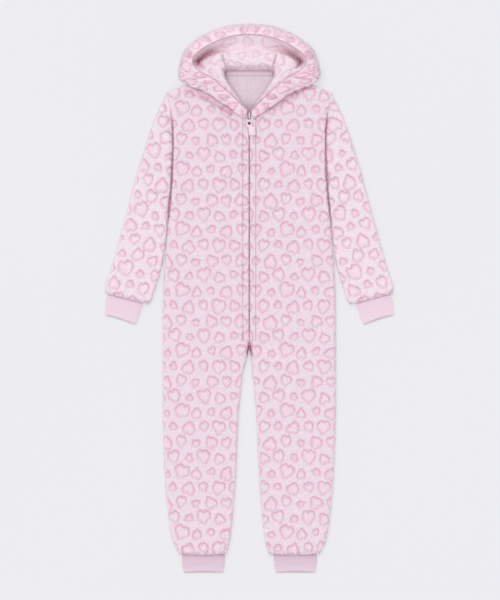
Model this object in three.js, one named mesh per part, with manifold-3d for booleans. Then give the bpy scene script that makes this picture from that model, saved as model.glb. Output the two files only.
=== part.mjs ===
// A child's hooded onesie pajama in plush fleece, laid flat on its back with the front zip closed.
// Millimetres. +Z is up from the surface it lies on, +Y towards the hood, +X to the right seen from above.
// The origin is on that surface, under the centre of the garment's outline.
// Every cloth piece is a wall: a grid of outer points, a grid of inner points, and a rim that joins them.
import * as THREE from "three";
import Module from "manifold-3d";

const wasm = await Module();
wasm.setup();

// Cloth
const FLEECE = 5.2; // the plush fleece, pile included
const RIB = 3.0; // the cuffs' doubled rib knit
const HOOD_CLOTH = 3.2; // the hood's outer fleece, stretched over its edge
const LINING_CLOTH = 4.6; // the hood's lining fleece
const FLAT_TOP = 14.0; // top of the front panels over the surface, where they lie on the back
const MIDDLE = FLAT_TOP / 2; // height of the side seams and folded edges
const SEAM_GAP = 0.4; // between two pieces sewn together
const BUTT_GAP = 0.3; // between one piece and another that it lies on

// Lengthways places, from the outline's centre
const NECK_FRONT_Y = 399; // where the front edges part above the zip
const NECK_BACK_Y = 489; // middle of the back neck seam
const NECK_POINT = { x: 76, y: 487 }; // where the neck seam meets the shoulder seam
const SHOULDER_TIP = { x: 177, y: 442 };
const UNDERARM_Y = 287;
const ZIP_END_Y = -67;
const CROTCH_Y = -104;
const LEG_HEM_Y = -548;

// Zip
const ZIP_HALF_SLOT = 1.6; // from the middle to each front's folded edge
const ZIP_TOP_SLOT = { half: 3.3, from: 383, to: 388 }; // the edges part a little above the slider
const ZIP_TAPE = { halfWidth: 11, low: 6.1, high: 7.2 };
const ZIP_CHAIN = { halfWidth: 1, high: 12.2 };
const ZIP_CLOSES = 30; // how far below its end the two fronts come together

// The body's outline: a row for each height, with the outer edge and half of the gap between the legs.
const BODY_OUTLINE = [
  { y: 442, outer: 177, gap: 0 },
  { y: 416, outer: 171.5, gap: 0 },
  { y: 389, outer: 167, gap: 0 },
  { y: 360, outer: 164, gap: 0 },
  { y: 320, outer: 164, gap: 0 },
  { y: 266, outer: 166, gap: 0 },
  { y: 212, outer: 170, gap: 0 },
  { y: 152, outer: 175.7, gap: 0 },
  { y: 105, outer: 179, gap: 0 },
  { y: 62, outer: 182, gap: 0 },
  { y: 19, outer: 184.5, gap: 0 },
  { y: -67, outer: 185.6, gap: 0 },
  { y: -104, outer: 185.6, gap: 0.2 },
  { y: -119, outer: 185.6, gap: 2 },
  { y: -153, outer: 185.6, gap: 7.5 },
  { y: -196, outer: 185.6, gap: 13 },
  { y: -260, outer: 185.2, gap: 19.5 },
  { y: -347, outer: 182.2, gap: 24 },
  { y: -411, outer: 179, gap: 27.5 },
  { y: -454, outer: 174.5, gap: 31 },
  { y: -497, outer: 169, gap: 35.5 },
  { y: -522, outer: 163.5, gap: 39 },
  { y: -540, outer: 155, gap: 43.5 },
  { y: -548, outer: 149.5, gap: 48 },
];
const LEG_GAP_SHIFT = -4; // the gap between the legs lies a little to the left of the zip

// The front neckline, from the zip out to the shoulder.
const FRONT_NECK = [
  { x: 1.6, y: 399 },
  { x: 12, y: 408 },
  { x: 22, y: 423 },
  { x: 36, y: 443 },
  { x: 50, y: 463 },
  { x: 62, y: 477 },
  { x: 76, y: 487 },
];

// The sleeve's two edges, a row for each section from the armhole to the hem.
const SLEEVE_OUTLINE = [
  { at: 0.0, outerX: 178.5, outerY: 441.5, innerX: 166.6, innerY: 286 },
  { at: 0.07, outerX: 188.5, outerY: 421, innerX: 168.2, innerY: 258 },
  { at: 0.2, outerX: 208.5, outerY: 369, innerX: 171.2, innerY: 221 },
  { at: 0.33, outerX: 225.5, outerY: 319, innerX: 175.2, innerY: 176 },
  { at: 0.46, outerX: 241, outerY: 266, innerX: 179.4, innerY: 127 },
  { at: 0.58, outerX: 255.5, outerY: 212, innerX: 184.6, innerY: 87 },
  { at: 0.7, outerX: 269.5, outerY: 160, innerX: 190.8, innerY: 60 },
  { at: 0.82, outerX: 285, outerY: 104, innerX: 198.4, innerY: 36 },
  { at: 0.92, outerX: 300, outerY: 53, innerX: 206, innerY: 13 },
  { at: 0.97, outerX: 308.2, outerY: 27, innerX: 210.2, innerY: -2.5 },
  { at: 1.0, outerX: 306.8, outerY: 11, innerX: 218.2, innerY: -11.6 },
];

// Cuffs: where each hem's middle is, how far and which way the cuff runs, and its half widths.
const SLEEVE_CUFF = { x: 266.3, y: 0.67, length: 46, turn: 0.247, topHalf: 39.5, endHalf: 34.8 };
const LEG_CUFF = { x: 98.7, y: LEG_HEM_Y, length: 41, turn: 0, topHalf: 47, endHalf: 40 };
const CUFF_HALF_HEIGHT = 4.6;
const CUFF_MIDDLE = 5.0; // height of a cuff's two edges
const CUFF_RIBS = 22; // broad ribs on each cuff, counted all round

// Soft troughs and ridges pressed into the front, placed by hand: both ends, half width and height.
const FOLDS = [
  { x1: -112, y1: 438, x2: -60, y2: 414, half: 9, height: -1.6 },
  { x1: -98, y1: 428, x2: -50, y2: 404, half: 8, height: 1.5 },
  { x1: 96, y1: 436, x2: 52, y2: 406, half: 11, height: -1.3 },
  { x1: -162, y1: 330, x2: -112, y2: 372, half: 12, height: -1.1 },
  { x1: 160, y1: 318, x2: 104, y2: 362, half: 13, height: -1.2 },
  { x1: -168, y1: 236, x2: -128, y2: 262, half: 14, height: 0.9 },
  { x1: 164, y1: 180, x2: 122, y2: 226, half: 15, height: 0.9 },
  { x1: -18, y1: -112, x2: -78, y2: -60, half: 13, height: -1.2 },
  { x1: 20, y1: -118, x2: 92, y2: -74, half: 14, height: -1.1 },
  { x1: -150, y1: -20, x2: -120, y2: -150, half: 20, height: 0.9 },
  { x1: 138, y1: -60, x2: 150, y2: -200, half: 18, height: -0.8 },
  { x1: -74, y1: -300, x2: -112, y2: -340, half: 16, height: 0.9 },
  { x1: 118, y1: -330, x2: 70, y2: -372, half: 16, height: -0.9 },
];
const GATHERS = { perLeg: 6, perSleeve: 5, reach: 26, height: 0.9 };

// Hood, half of it: a row for each section from the crown seam round to the zip. Each point is [x, y, z].
// The lining runs from the neck up over its soft roll, down into the hollow and up to the hood's edge.
const HOOD_LINING = [
  { neck: [0, 490, 10.6], foot: [0, 498, 24], roll: [0, 512, 36], ridge: [0, 530, 39], hollow: [0, 539, 27], rim: [0, 565.8, 48] },
  { neck: [22, 490, 10.6], foot: [24, 498, 24], roll: [26, 512, 36], ridge: [28, 530, 39], hollow: [31, 538.5, 25], rim: [38, 561.8, 48] },
  { neck: [40, 490, 10.6], foot: [43, 497, 21], roll: [49, 511, 34], ridge: [60, 529, 38], hollow: [66, 534, 20], rim: [80, 546.4, 47] },
  { neck: [48, 486.5, 10.6], foot: [53, 492, 22], roll: [63, 502, 36], ridge: [90, 517, 37], hollow: [97, 519.5, 16], rim: [113.7, 524.6, 45.5] },
  { neck: [48.5, 478, 10.6], foot: [54, 482, 24], roll: [65, 490, 36], ridge: [96, 501, 37], hollow: [112, 504.5, 27], rim: [121.8, 505.7, 43.5] },
  { neck: [44.5, 467, 10.6], foot: [50, 470, 24], roll: [59, 475, 34], ridge: [78, 483, 36], hollow: [92, 487, 36.5], rim: [108.4, 489.7, 40.2] },
  { neck: [34.5, 450, 10.6], foot: [39, 452.5, 22], roll: [45, 456.5, 31], ridge: [55, 462, 34], hollow: [66, 467, 35], rim: [79, 472, 36.5] },
  { neck: [22, 429.5, 10.6], foot: [25, 431.5, 19], roll: [28.5, 434, 26], ridge: [34, 438, 29], hollow: [40, 441.5, 30.5], rim: [47, 446, 31.5] },
  { neck: [3.3, 402.6, 14.6], foot: [3.6, 403.2, 16.6], roll: [3.9, 403.8, 18.4], ridge: [4.2, 404.4, 19.8], hollow: [4.5, 405, 20.9], rim: [4.8, 405.8, 21.8] },
];
// The outer fleece runs from the same edge over the band to the outline, and in under itself.
const HOOD_OUTER = [
  { rim: [0, 567, 51], band: [0, 581, 43], side: [0, 589.4, 23], under: [0, 583, 3.6], floor: [0, 562, 0], end: [0, 489.4, 0] },
  { rim: [38.5, 563, 51], band: [44, 576, 43], side: [48, 584.6, 23], under: [46, 578, 3.6], floor: [38, 556, 0], end: [26, 489.4, 0] },
  { rim: [81, 547.5, 50], band: [91, 558.5, 42], side: [98, 566, 22.5], under: [94, 560, 3.6], floor: [84, 544, 0], end: [60, 489.2, 0] },
  { rim: [114.8, 525.4, 48.5], band: [125.5, 533, 41], side: [133.5, 538, 22], under: [129.5, 533.5, 3.6], floor: [117, 524, 0], end: [87, 483.6, 0] },
  { rim: [123, 506, 46.5], band: [137, 506.5, 39], side: [147.6, 506.5, 22], under: [143, 505, 3.6], floor: [130, 502, 0], end: [107, 475.4, 0] },
  { rim: [109.5, 489, 43], band: [133, 483.5, 37], side: [150, 478, 22], under: [147, 477.5, 13], floor: [139, 477, 8.5], end: [123, 471.5, 12.5] },
  { rim: [80, 471, 39], band: [106, 467, 35], side: [131, 460.5, 24], under: [130.5, 461.5, 20], floor: [125, 464.5, 16.6], end: [113, 469, 16.4] },
  { rim: [48, 445, 34], band: [65, 442, 31.5], side: [82, 437.5, 23], under: [81.5, 438.3, 19.5], floor: [76, 440.5, 16.4], end: [66, 443.5, 16.2] },
  { rim: [5, 404, 23.8], band: [7.8, 396.5, 23.6], side: [11, 387.5, 20.2], under: [10.8, 388.2, 18.1], floor: [9.6, 391.5, 16.2], end: [6.8, 398, 16.1] },
];

// Colours and finishes of the pieces
const fleece = new THREE.MeshStandardMaterial({ color: 0xf0d3e2, roughness: 0.95, metalness: 0 });
const rib = new THREE.MeshStandardMaterial({ color: 0xe9c6dc, roughness: 0.9, metalness: 0 });
const tapeCloth = new THREE.MeshStandardMaterial({ color: 0xd9b6c6, roughness: 0.85, metalness: 0 });
const sliderEnamel = new THREE.MeshStandardMaterial({ color: 0xf2d3e0, roughness: 0.3, metalness: 0 });
const pullEnamel = new THREE.MeshStandardMaterial({ color: 0xf6dde8, roughness: 0.35, metalness: 0 });

// Value of a table's column at a station, on a cubic that keeps between its rows. Rows rise or fall in `key`.
function column(table, key, name, station) {
  const rows = table[0][key] > table[table.length - 1][key] ? [...table].reverse() : table;
  if (station <= rows[0][key]) return rows[0][name];
  if (station >= rows[rows.length - 1][key]) return rows[rows.length - 1][name];
  const k = rows.findIndex((row) => row[key] > station) - 1;
  const rise = (i) => (rows[i + 1][name] - rows[i][name]) / (rows[i + 1][key] - rows[i][key]);
  const slope = (i) => {
    if (i === 0) return rise(0);
    if (i === rows.length - 1) return rise(i - 1);
    const before = rise(i - 1);
    const after = rise(i);
    return before * after <= 0 ? 0 : (2 * before * after) / (before + after);
  };
  const step = rows[k + 1][key] - rows[k][key];
  const t = (station - rows[k][key]) / step;
  return (
    rows[k][name] * (1 + 2 * t) * (1 - t) ** 2 +
    rows[k + 1][name] * t * t * (3 - 2 * t) +
    step * (slope(k) * t * (1 - t) ** 2 - slope(k + 1) * t * t * (1 - t))
  );
}

// Point on a smooth curve through evenly numbered points, at t from 0 to 1.
function through(points, t) {
  const last = points.length - 1;
  const place = Math.min(Math.max(t, 0), 1) * last;
  const k = Math.min(Math.floor(place), last - 1);
  const f = place - k;
  const at = (i, axis) => {
    if (i < 0) return 2 * points[0][axis] - points[1][axis];
    if (i > last) return 2 * points[last][axis] - points[last - 1][axis];
    return points[i][axis];
  };
  return [0, 1, 2].map((axis) => {
    const [a, b, c, d] = [k - 1, k, k + 1, k + 2].map((i) => at(i, axis));
    return 0.5 * (2 * b + (c - a) * f + (2 * a - 5 * b + 4 * c - d) * f * f + (3 * b - a - 3 * c + d) * f ** 3);
  });
}

const mix = (a, b, t) => a + (b - a) * t;

// 0 before `from`, 1 after `to`, and a soft step between them, whichever is the larger.
function ramp(from, to, value) {
  const t = THREE.MathUtils.clamp((value - from) / (to - from), 0, 1);
  return t * t * (3 - 2 * t);
}

// A closed wall from two grids of points, rows by columns. A tube's columns close on themselves.
function wall(name, material, outer, inner, tube = false) {
  const rows = outer.length;
  const cols = outer[0].length;
  const positions = [...outer.flat(), ...inner.flat()].flat();
  const out = (i, j) => i * cols + (j % cols);
  const inn = (i, j) => rows * cols + out(i, j);
  const triangles = [];
  const quad = (a, b, c, d) => triangles.push(a, b, c, a, c, d);
  for (let i = 0; i < rows - 1; i++)
    for (let j = 0; j < (tube ? cols : cols - 1); j++) {
      quad(out(i, j), out(i, j + 1), out(i + 1, j + 1), out(i + 1, j));
      quad(inn(i, j), inn(i + 1, j), inn(i + 1, j + 1), inn(i, j + 1));
    }
  for (let j = 0; j < (tube ? cols : cols - 1); j++) {
    quad(out(0, j), inn(0, j), inn(0, j + 1), out(0, j + 1));
    quad(out(rows - 1, j), out(rows - 1, j + 1), inn(rows - 1, j + 1), inn(rows - 1, j));
  }
  if (!tube)
    for (let i = 0; i < rows - 1; i++) {
      quad(out(i, 0), out(i + 1, 0), inn(i + 1, 0), inn(i, 0));
      quad(out(i, cols - 1), inn(i, cols - 1), inn(i + 1, cols - 1), out(i + 1, cols - 1));
    }
  const geometry = new THREE.BufferGeometry();
  geometry.setAttribute("position", new THREE.Float32BufferAttribute(positions, 3));
  geometry.setIndex(facingOut(positions, triangles));
  geometry.computeVertexNormals();
  const mesh = new THREE.Mesh(geometry, material);
  mesh.name = name;
  return mesh;
}

// The triangles, turned round if they enclose a negative volume.
function facingOut(positions, triangles) {
  const point = (i) => new THREE.Vector3(...positions.slice(3 * i, 3 * i + 3));
  let volume = 0;
  for (let i = 0; i < triangles.length; i += 3) {
    const [a, b, c] = [0, 1, 2].map((k) => point(triangles[i + k]));
    volume += a.dot(b.cross(c));
  }
  return volume > 0 ? triangles : triangles.reverse();
}

// Height added by the folds at a place on the front, and by the slow waves of soft cloth.
function softness(x, y) {
  let sum = 0.45 * Math.sin(x / 31 + 1.3 * Math.sin(y / 88)) * Math.sin(y / 57 + 0.7);
  for (const fold of FOLDS) {
    const dx = fold.x2 - fold.x1;
    const dy = fold.y2 - fold.y1;
    const along = ((x - fold.x1) * dx + (y - fold.y1) * dy) / (dx * dx + dy * dy);
    const near = THREE.MathUtils.clamp(along, 0, 1);
    const away = Math.hypot(x - fold.x1 - near * dx, y - fold.y1 - near * dy);
    sum += fold.height * Math.exp(-((away / fold.half) ** 2));
  }
  return sum * ramp(8, 24, Math.abs(x));
}

// Front and back panels, each from the shoulder down to one ankle.
// A grid line near an edge keeps its distance from it, so the edge is a round fold.
const FRONT_ROLL = { side: [0, 1.2, 4.2, 8.5], middle: [0, 1.4, 4.5], top: [0, 1.2, 4.2, 8.5], hem: [0, 1.4, 4.5, 9] };
const EDGE_KEPT = { middle: 0.72, armhole: 0.5, hem: 0.35 }; // how much of its height a sewn edge keeps
const FRONT_GRID = { across: 7, along: 27 };
const BACK_GRID = { across: 4, along: 20 };

// Grid lines across a panel: distances from the inner edge, shares of the middle, distances from the outer edge.
function gridLines(first, between, last) {
  const lines = first.map((distance) => ({ edge: 0, distance }));
  for (let k = 1; k < between; k++) lines.push({ edge: null, share: k / between });
  return [...lines, ...[...last].reverse().map((distance) => ({ edge: 1, distance }))];
}

function onLine(line, low, high, firstReach, lastReach) {
  if (line.edge === 0) return low + line.distance;
  if (line.edge === 1) return high - line.distance;
  return mix(low + firstReach, high - lastReach, line.share);
}

// How far a round fold has risen at a distance from its edge, 0 at the edge and 1 past its reach.
const risen = (distance, reach) => Math.sqrt(1 - (1 - THREE.MathUtils.clamp(distance / reach, 0, 1)) ** 2);

function panel(side, front) {
  const lines = front ? FRONT_GRID : BACK_GRID;
  const roll = FRONT_ROLL;
  const reach = { side: roll.side.at(-1), middle: roll.middle.at(-1), top: roll.top.at(-1), hem: roll.hem.at(-1) };
  const columns = gridLines(roll.middle, lines.across, roll.side);
  const rows = gridLines(roll.hem, lines.along, roll.top);
  const grid = (isOuter) =>
    rows.map((row) =>
      columns.map((line) => {
        const topX = onLine(line, ZIP_HALF_SLOT, SHOULDER_TIP.x, reach.middle, reach.side);
        const top = topEdge(topX, front);
        const y = onLine(row, LEG_HEM_Y, top, reach.hem, reach.top);
        const aboveShoulder = y > SHOULDER_TIP.y;
        const low = aboveShoulder ? ZIP_HALF_SLOT : middleEdge(side, front, y);
        const high = aboveShoulder ? SHOULDER_TIP.x : column(BODY_OUTLINE, "y", "outer", y);
        const x = onLine(line, low, high, reach.middle, reach.side);
        const flat = {
          middle: ramp(CROTCH_Y - 26, CROTCH_Y, y) * EDGE_KEPT.middle,
          side: aboveShoulder ? 0 : ramp(UNDERARM_Y - 4, UNDERARM_Y + 60, y) * EDGE_KEPT.armhole,
          top: topX < NECK_POINT.x - 1 ? 1 : 0,
          hem: EDGE_KEPT.hem,
        };
        const across = Math.min(
          mix(risen(x - low, reach.middle), 1, flat.middle),
          mix(risen(high - x, reach.side), 1, flat.side),
        );
        const along = Math.min(
          mix(risen(top - y, reach.top), 1, flat.top),
          mix(risen(y - LEG_HEM_Y, reach.hem), 1, flat.hem),
        );
        return panelPoint(side, front, isOuter, { x, y, low, high, top, share: across * along, flatTop: flat.top });
      }),
    );
  const name = `${front ? "front" : "back"}_${side < 0 ? "left" : "right"}`;
  return wall(name, fleece, grid(true), grid(false));
}

// The panel's upper edge: the neckline as far as the neck point, then the shoulder seam.
function topEdge(x, front) {
  if (x >= NECK_POINT.x)
    return mix(NECK_POINT.y, SHOULDER_TIP.y, (x - NECK_POINT.x) / (SHOULDER_TIP.x - NECK_POINT.x));
  return front ? column(FRONT_NECK, "x", "y", x) : mix(NECK_BACK_Y, NECK_POINT.y, (x / NECK_POINT.x) ** 2);
}

// The panel's edge at the middle: beside the zip, then the seam down to the crotch, then the inside of the leg.
function middleEdge(side, front, y) {
  const slot = mix(ZIP_HALF_SLOT, ZIP_TOP_SLOT.half, ramp(ZIP_TOP_SLOT.from, ZIP_TOP_SLOT.to, y));
  const zip = front ? mix(SEAM_GAP / 2, slot, ramp(ZIP_END_Y - ZIP_CLOSES, ZIP_END_Y, y)) : SEAM_GAP / 2;
  const shift = side * LEG_GAP_SHIFT * (1 - ramp(CROTCH_Y - 60, CROTCH_Y - 10, y));
  return Math.max(zip, column(BODY_OUTLINE, "y", "gap", y) + shift);
}

// One point of a panel's outer or inner face. `share` is how far the wall has risen from its seam.
function panelPoint(side, front, isOuter, place) {
  const { x, y, low, high, top, share, flatTop } = place;
  const half = MIDDLE - BUTT_GAP / 2;
  const soft = front ? softness(side * x, y) * share + gathers(x, y) * share : 0;
  const sign = front ? 1 : -1;
  if (isOuter) return [side * x, y, MIDDLE + sign * (BUTT_GAP / 2 + half * share) + soft];
  const inset = (edge, away) => edge * THREE.MathUtils.clamp(1 - away / 9, 0, 1);
  const inX = x + inset(FLEECE * 0.55, x - low) - inset(FLEECE * 0.75, high - x);
  const inY = y - inset(flatTop ? 0 : FLEECE * 0.6, top - y) + inset(FLEECE * 0.6, y - LEG_HEM_Y);
  const innerHalf = Math.max(half - FLEECE, 0);
  return [side * inX, inY, MIDDLE + sign * (BUTT_GAP / 2 + innerHalf * share) + 0.3 * soft];
}

// Small puckers where a leg is gathered into its cuff.
function gathers(x, y) {
  const near = Math.exp(-(((y - LEG_HEM_Y) / GATHERS.reach) ** 2));
  return GATHERS.height * near * Math.cos((2 * Math.PI * GATHERS.perLeg * (x - LEG_CUFF.x)) / 100);
}

// A sleeve: a flattened tube from the armhole to its hem, its front half first and then its back half.
const SLEEVE_ROLL = { outer: [0, 1.3, 4.6, 9], inner: [0, 1.6, 5.5, 12] };
const SLEEVE_ARMHOLE = { kept: 0.35, reach: 0.08 }; // the sleeve sinks towards its armhole seam
const SLEEVE_GRID = { across: 5, sections: [0, 0.02, 0.06, 0.13, 0.22, 0.32, 0.42, 0.52, 0.62, 0.72, 0.82, 0.9, 0.955, 0.985, 1] };

function sleeve(side) {
  const half = gridLines(SLEEVE_ROLL.outer, SLEEVE_GRID.across, SLEEVE_ROLL.inner);
  const ring = [...half.map((line) => ({ line, front: 1 })), ...half.slice(1, -1).reverse().map((line) => ({ line, front: -1 }))];
  const grid = (isOuter) =>
    SLEEVE_GRID.sections.map((at) => ring.map(({ line, front }) => sleevePoint(side, at, line, front, isOuter)));
  return wall(`sleeve_${side < 0 ? "left" : "right"}`, fleece, grid(true), grid(false), true);
}

function sleevePoint(side, at, line, front, isOuter) {
  const edge = (name) => column(SLEEVE_OUTLINE, "at", name, at);
  const outerPoint = new THREE.Vector2(edge("outerX"), edge("outerY"));
  const innerPoint = new THREE.Vector2(edge("innerX"), edge("innerY"));
  const width = outerPoint.distanceTo(innerPoint);
  const reachOut = SLEEVE_ROLL.outer.at(-1);
  const reachIn = SLEEVE_ROLL.inner.at(-1);
  const fromOuter = onLine(line, 0, width, reachOut, reachIn);
  const hemRoll = risen(1 - at, 0.03);
  const rise = Math.min(risen(fromOuter, reachOut), risen(width - fromOuter, reachIn));
  const armhole = mix(SLEEVE_ARMHOLE.kept, 1, ramp(0, SLEEVE_ARMHOLE.reach, at));
  const share = rise * armhole * mix(0.35, 1, hemRoll);
  const halfHeight = MIDDLE - (isOuter ? 0 : FLEECE);
  const inset = isOuter ? 0 : FLEECE * 0.8;
  const across = THREE.MathUtils.clamp(fromOuter, inset * 1.02, width - inset * 1.02);
  const place = outerPoint.clone().lerp(innerPoint, across / width);
  const follow = (1 - ramp(0, 0.16, at)) * (column(BODY_OUTLINE, "y", "outer", place.y) + SEAM_GAP + 0.7 - chordX(place.y));
  const pucker = GATHERS.height * Math.cos(2 * Math.PI * GATHERS.perSleeve * (across / width)) * ramp(0.86, 1, at);
  const soft = front > 0 ? softness(side * (place.x + 40), place.y) * share * 0.8 + pucker * share : 0;
  return [side * (place.x + follow), place.y, MIDDLE + front * halfHeight * share + soft * (isOuter ? 1 : 0.3)];
}

// The straight line across the armhole, from the shoulder tip to the underarm.
function chordX(y) {
  const [first] = SLEEVE_OUTLINE;
  return mix(first.innerX, first.outerX, (y - first.innerY) / (first.outerY - first.innerY));
}

// A rib cuff: an oval tube, its ribs raised in the outer points over a plain inside.
const CUFF_STEPS = CUFF_RIBS * 2;
const CUFF_ROWS = 3;

function cuff(name, side, size) {
  const down = new THREE.Vector2(size.turn, -Math.sqrt(1 - size.turn ** 2));
  const across = new THREE.Vector2(-down.y, down.x);
  const grid = (isOuter) =>
    Array.from({ length: CUFF_ROWS }, (_, row) => {
      const t = row / (CUFF_ROWS - 1);
      const halfWidth = mix(size.topHalf, size.endHalf, t);
      return Array.from({ length: CUFF_STEPS }, (_, step) => {
        const angle = (2 * Math.PI * step) / CUFF_STEPS;
        const ridge = isOuter ? 0.35 * Math.cos(Math.PI * step) - 0.35 : -RIB;
        const flat = Math.sign(Math.cos(angle)) * Math.abs(Math.cos(angle)) ** 0.8;
        const high = Math.sign(Math.sin(angle)) * Math.abs(Math.sin(angle)) ** 0.55;
        const u = flat * (halfWidth + ridge);
        const z = high * (CUFF_HALF_HEIGHT + ridge * 0.9);
        const along = SEAM_GAP + t * size.length;
        return [
          side * (size.x + down.x * along + across.x * u),
          size.y + down.y * along + across.y * u,
          CUFF_MIDDLE + z,
        ];
      });
    });
  return wall(name, rib, grid(true), grid(false), true);
}

// The hood's two halves and their linings.
const HOOD_GRID = { around: 15, outer: 13, lining: 13 };

function hoodSurface(table, u, v) {
  const names = Object.keys(table[0]);
  const section = names.map((name) => through(table.map((row) => row[name]), u));
  return through(section, v);
}

function hoodNormal(table, u, v) {
  const step = 0.004;
  const at = (du, dv) => new THREE.Vector3(...hoodSurface(table, u + du, v + dv));
  const fore = Math.min(u + step, 1) - u;
  const along = at(fore, 0).sub(at(fore - step, 0));
  const ahead = Math.min(v + step, 1) - v;
  const over = at(0, ahead).sub(at(0, ahead - step));
  const normal = along.cross(over).normalize();
  if (v === 0) normal.set(0, 0, Math.sign(normal.z || 1)); // the edge faces the lining's edge squarely
  if (u === 0) normal.setX(0).normalize(); // the crown seam stays in its plane
  return normal;
}

function hoodPiece(name, side, table, lines, thickness, square) {
  const shift = SEAM_GAP / 2;
  const flip = hoodNormal(table, 0.02, 0.1).z < 0 ? -1 : 1;
  const grid = (isOuter) =>
    Array.from({ length: HOOD_GRID.around }, (_, i) => {
      const u = i / (HOOD_GRID.around - 1);
      return Array.from({ length: lines }, (_, j) => {
        const v = j / (lines - 1);
        const point = new THREE.Vector3(...hoodSurface(table, u, v));
        if (!square) point.z = Math.max(point.z, 0);
        if (!isOuter && square) point.z -= thickness;
        if (!isOuter && !square) point.addScaledVector(hoodNormal(table, u, v), -flip * thickness);
        return [side * (point.x + shift), point.y, point.z];
      });
    });
  return wall(name, fleece, grid(true), grid(false));
}

// A flat strip that follows the back neck seam, on the inside of the back.
function neckTape() {
  const halfWidth = 40;
  const depth = 9;
  const low = 6.0;
  const thick = 1.2;
  const steps = 10;
  const face = (z) =>
    [0, 1].map((row) =>
      Array.from({ length: steps + 1 }, (_, k) => {
        const x = mix(-halfWidth, halfWidth, k / steps);
        return [x, NECK_BACK_Y - 0.6 - row * depth, z];
      }),
    );
  return wall("neck_tape", tapeCloth, face(low + thick), face(low));
}

// The zip: its tape lies under both fronts, and its chain stands up in the slot between them.
function zip() {
  const section = new THREE.Shape([
    new THREE.Vector2(-ZIP_TAPE.halfWidth, ZIP_TAPE.low),
    new THREE.Vector2(ZIP_TAPE.halfWidth, ZIP_TAPE.low),
    new THREE.Vector2(ZIP_TAPE.halfWidth, ZIP_TAPE.high),
    new THREE.Vector2(ZIP_CHAIN.halfWidth, ZIP_TAPE.high),
    new THREE.Vector2(ZIP_CHAIN.halfWidth, ZIP_CHAIN.high),
    new THREE.Vector2(-ZIP_CHAIN.halfWidth, ZIP_CHAIN.high),
    new THREE.Vector2(-ZIP_CHAIN.halfWidth, ZIP_TAPE.high),
    new THREE.Vector2(-ZIP_TAPE.halfWidth, ZIP_TAPE.high),
  ]);
  const length = NECK_FRONT_Y - 1 - ZIP_END_Y;
  const geometry = new THREE.ExtrudeGeometry(section, { depth: length, bevelEnabled: false });
  geometry.rotateX(Math.PI / 2);
  const mesh = new THREE.Mesh(geometry, tapeCloth);
  mesh.position.y = NECK_FRONT_Y - 1;
  mesh.name = "zip";
  return mesh;
}

// Slider and pull
const SLIDER = { y: 376.6, length: 17, topHalf: 6.2, endHalf: 4.6, low: 15.1, plate: 1.3, stem: { halfWidth: 1, length: 13 } };
const BRIDGE = { halfWidth: 1.1, opening: 3.2, height: 2.6, bar: 1.2 };
const PULL = { bar: 1.3, headRadius: 7.2, holeRadius: 3.6, tailX: 6, tailHalf: 7.2, tailEndY: 350.8, tailLean: 0.06 };
const HINGE = { y: 381.2, z: SLIDER.low + SLIDER.plate + BRIDGE.height / 2 };

function solidFrom(geometry) {
  const bare = geometry.index ? geometry.toNonIndexed() : geometry;
  const source = bare.getAttribute("position");
  const found = new Map();
  const vertices = [];
  const triangles = [];
  for (let i = 0; i < source.count; i++) {
    const point = [source.getX(i), source.getY(i), source.getZ(i)].map((value) => Math.round(value * 1e4) / 1e4);
    const key = point.join();
    if (!found.has(key)) {
      found.set(key, vertices.length / 3);
      vertices.push(...point);
    }
    triangles.push(found.get(key));
  }
  return new wasm.Manifold(
    new wasm.Mesh({ numProp: 3, vertProperties: new Float32Array(vertices), triVerts: new Uint32Array(triangles) }),
  );
}

function meshFrom(solid, name, material) {
  const made = solid.getMesh();
  const geometry = new THREE.BufferGeometry();
  geometry.setAttribute("position", new THREE.BufferAttribute(new Float32Array(made.vertProperties), 3));
  geometry.setIndex(new THREE.BufferAttribute(made.triVerts, 1));
  geometry.computeVertexNormals();
  const mesh = new THREE.Mesh(geometry, material);
  mesh.name = name;
  return mesh;
}

function block(x, y, z, width, length, height) {
  return solidFrom(new THREE.BoxGeometry(width, length, height).translate(x, y, z));
}

// The slider: an enamelled plate over the slot, a stem down to the chain and a bridge that holds the pull.
function slider() {
  const { y, length, topHalf, endHalf, low, plate, stem } = SLIDER;
  const top = y + length / 2;
  const end = y - length / 2;
  const outline = new THREE.Shape();
  outline.moveTo(-endHalf, end + 2);
  outline.quadraticCurveTo(-endHalf, end, 0, end);
  outline.quadraticCurveTo(endHalf, end, endHalf, end + 2);
  outline.lineTo(topHalf, top - 4);
  outline.quadraticCurveTo(topHalf, top, 0, top);
  outline.quadraticCurveTo(-topHalf, top, -topHalf, top - 4);
  const face = solidFrom(
    new THREE.ExtrudeGeometry(outline, { depth: plate, bevelEnabled: false, curveSegments: 5 }).translate(0, 0, low),
  );
  const stemLow = ZIP_CHAIN.high + BUTT_GAP;
  const stemHigh = low + plate / 2;
  const neck = block(0, y, (stemLow + stemHigh) / 2, 2 * stem.halfWidth, stem.length, stemHigh - stemLow);
  const { halfWidth, opening, height, bar } = BRIDGE;
  const roof = low + plate + height;
  const arch = block(0, HINGE.y, roof + bar / 2, 2 * halfWidth, opening + 2 * bar, bar);
  const legs = [-1, 1].map((end) =>
    block(0, HINGE.y + (end * (opening + bar)) / 2, (low + plate / 2 + roof + bar) / 2, 2 * halfWidth, bar, height + bar + plate / 2),
  );
  return meshFrom(face.add(neck).add(arch).add(legs[0]).add(legs[1]), "slider", sliderEnamel);
}

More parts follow.
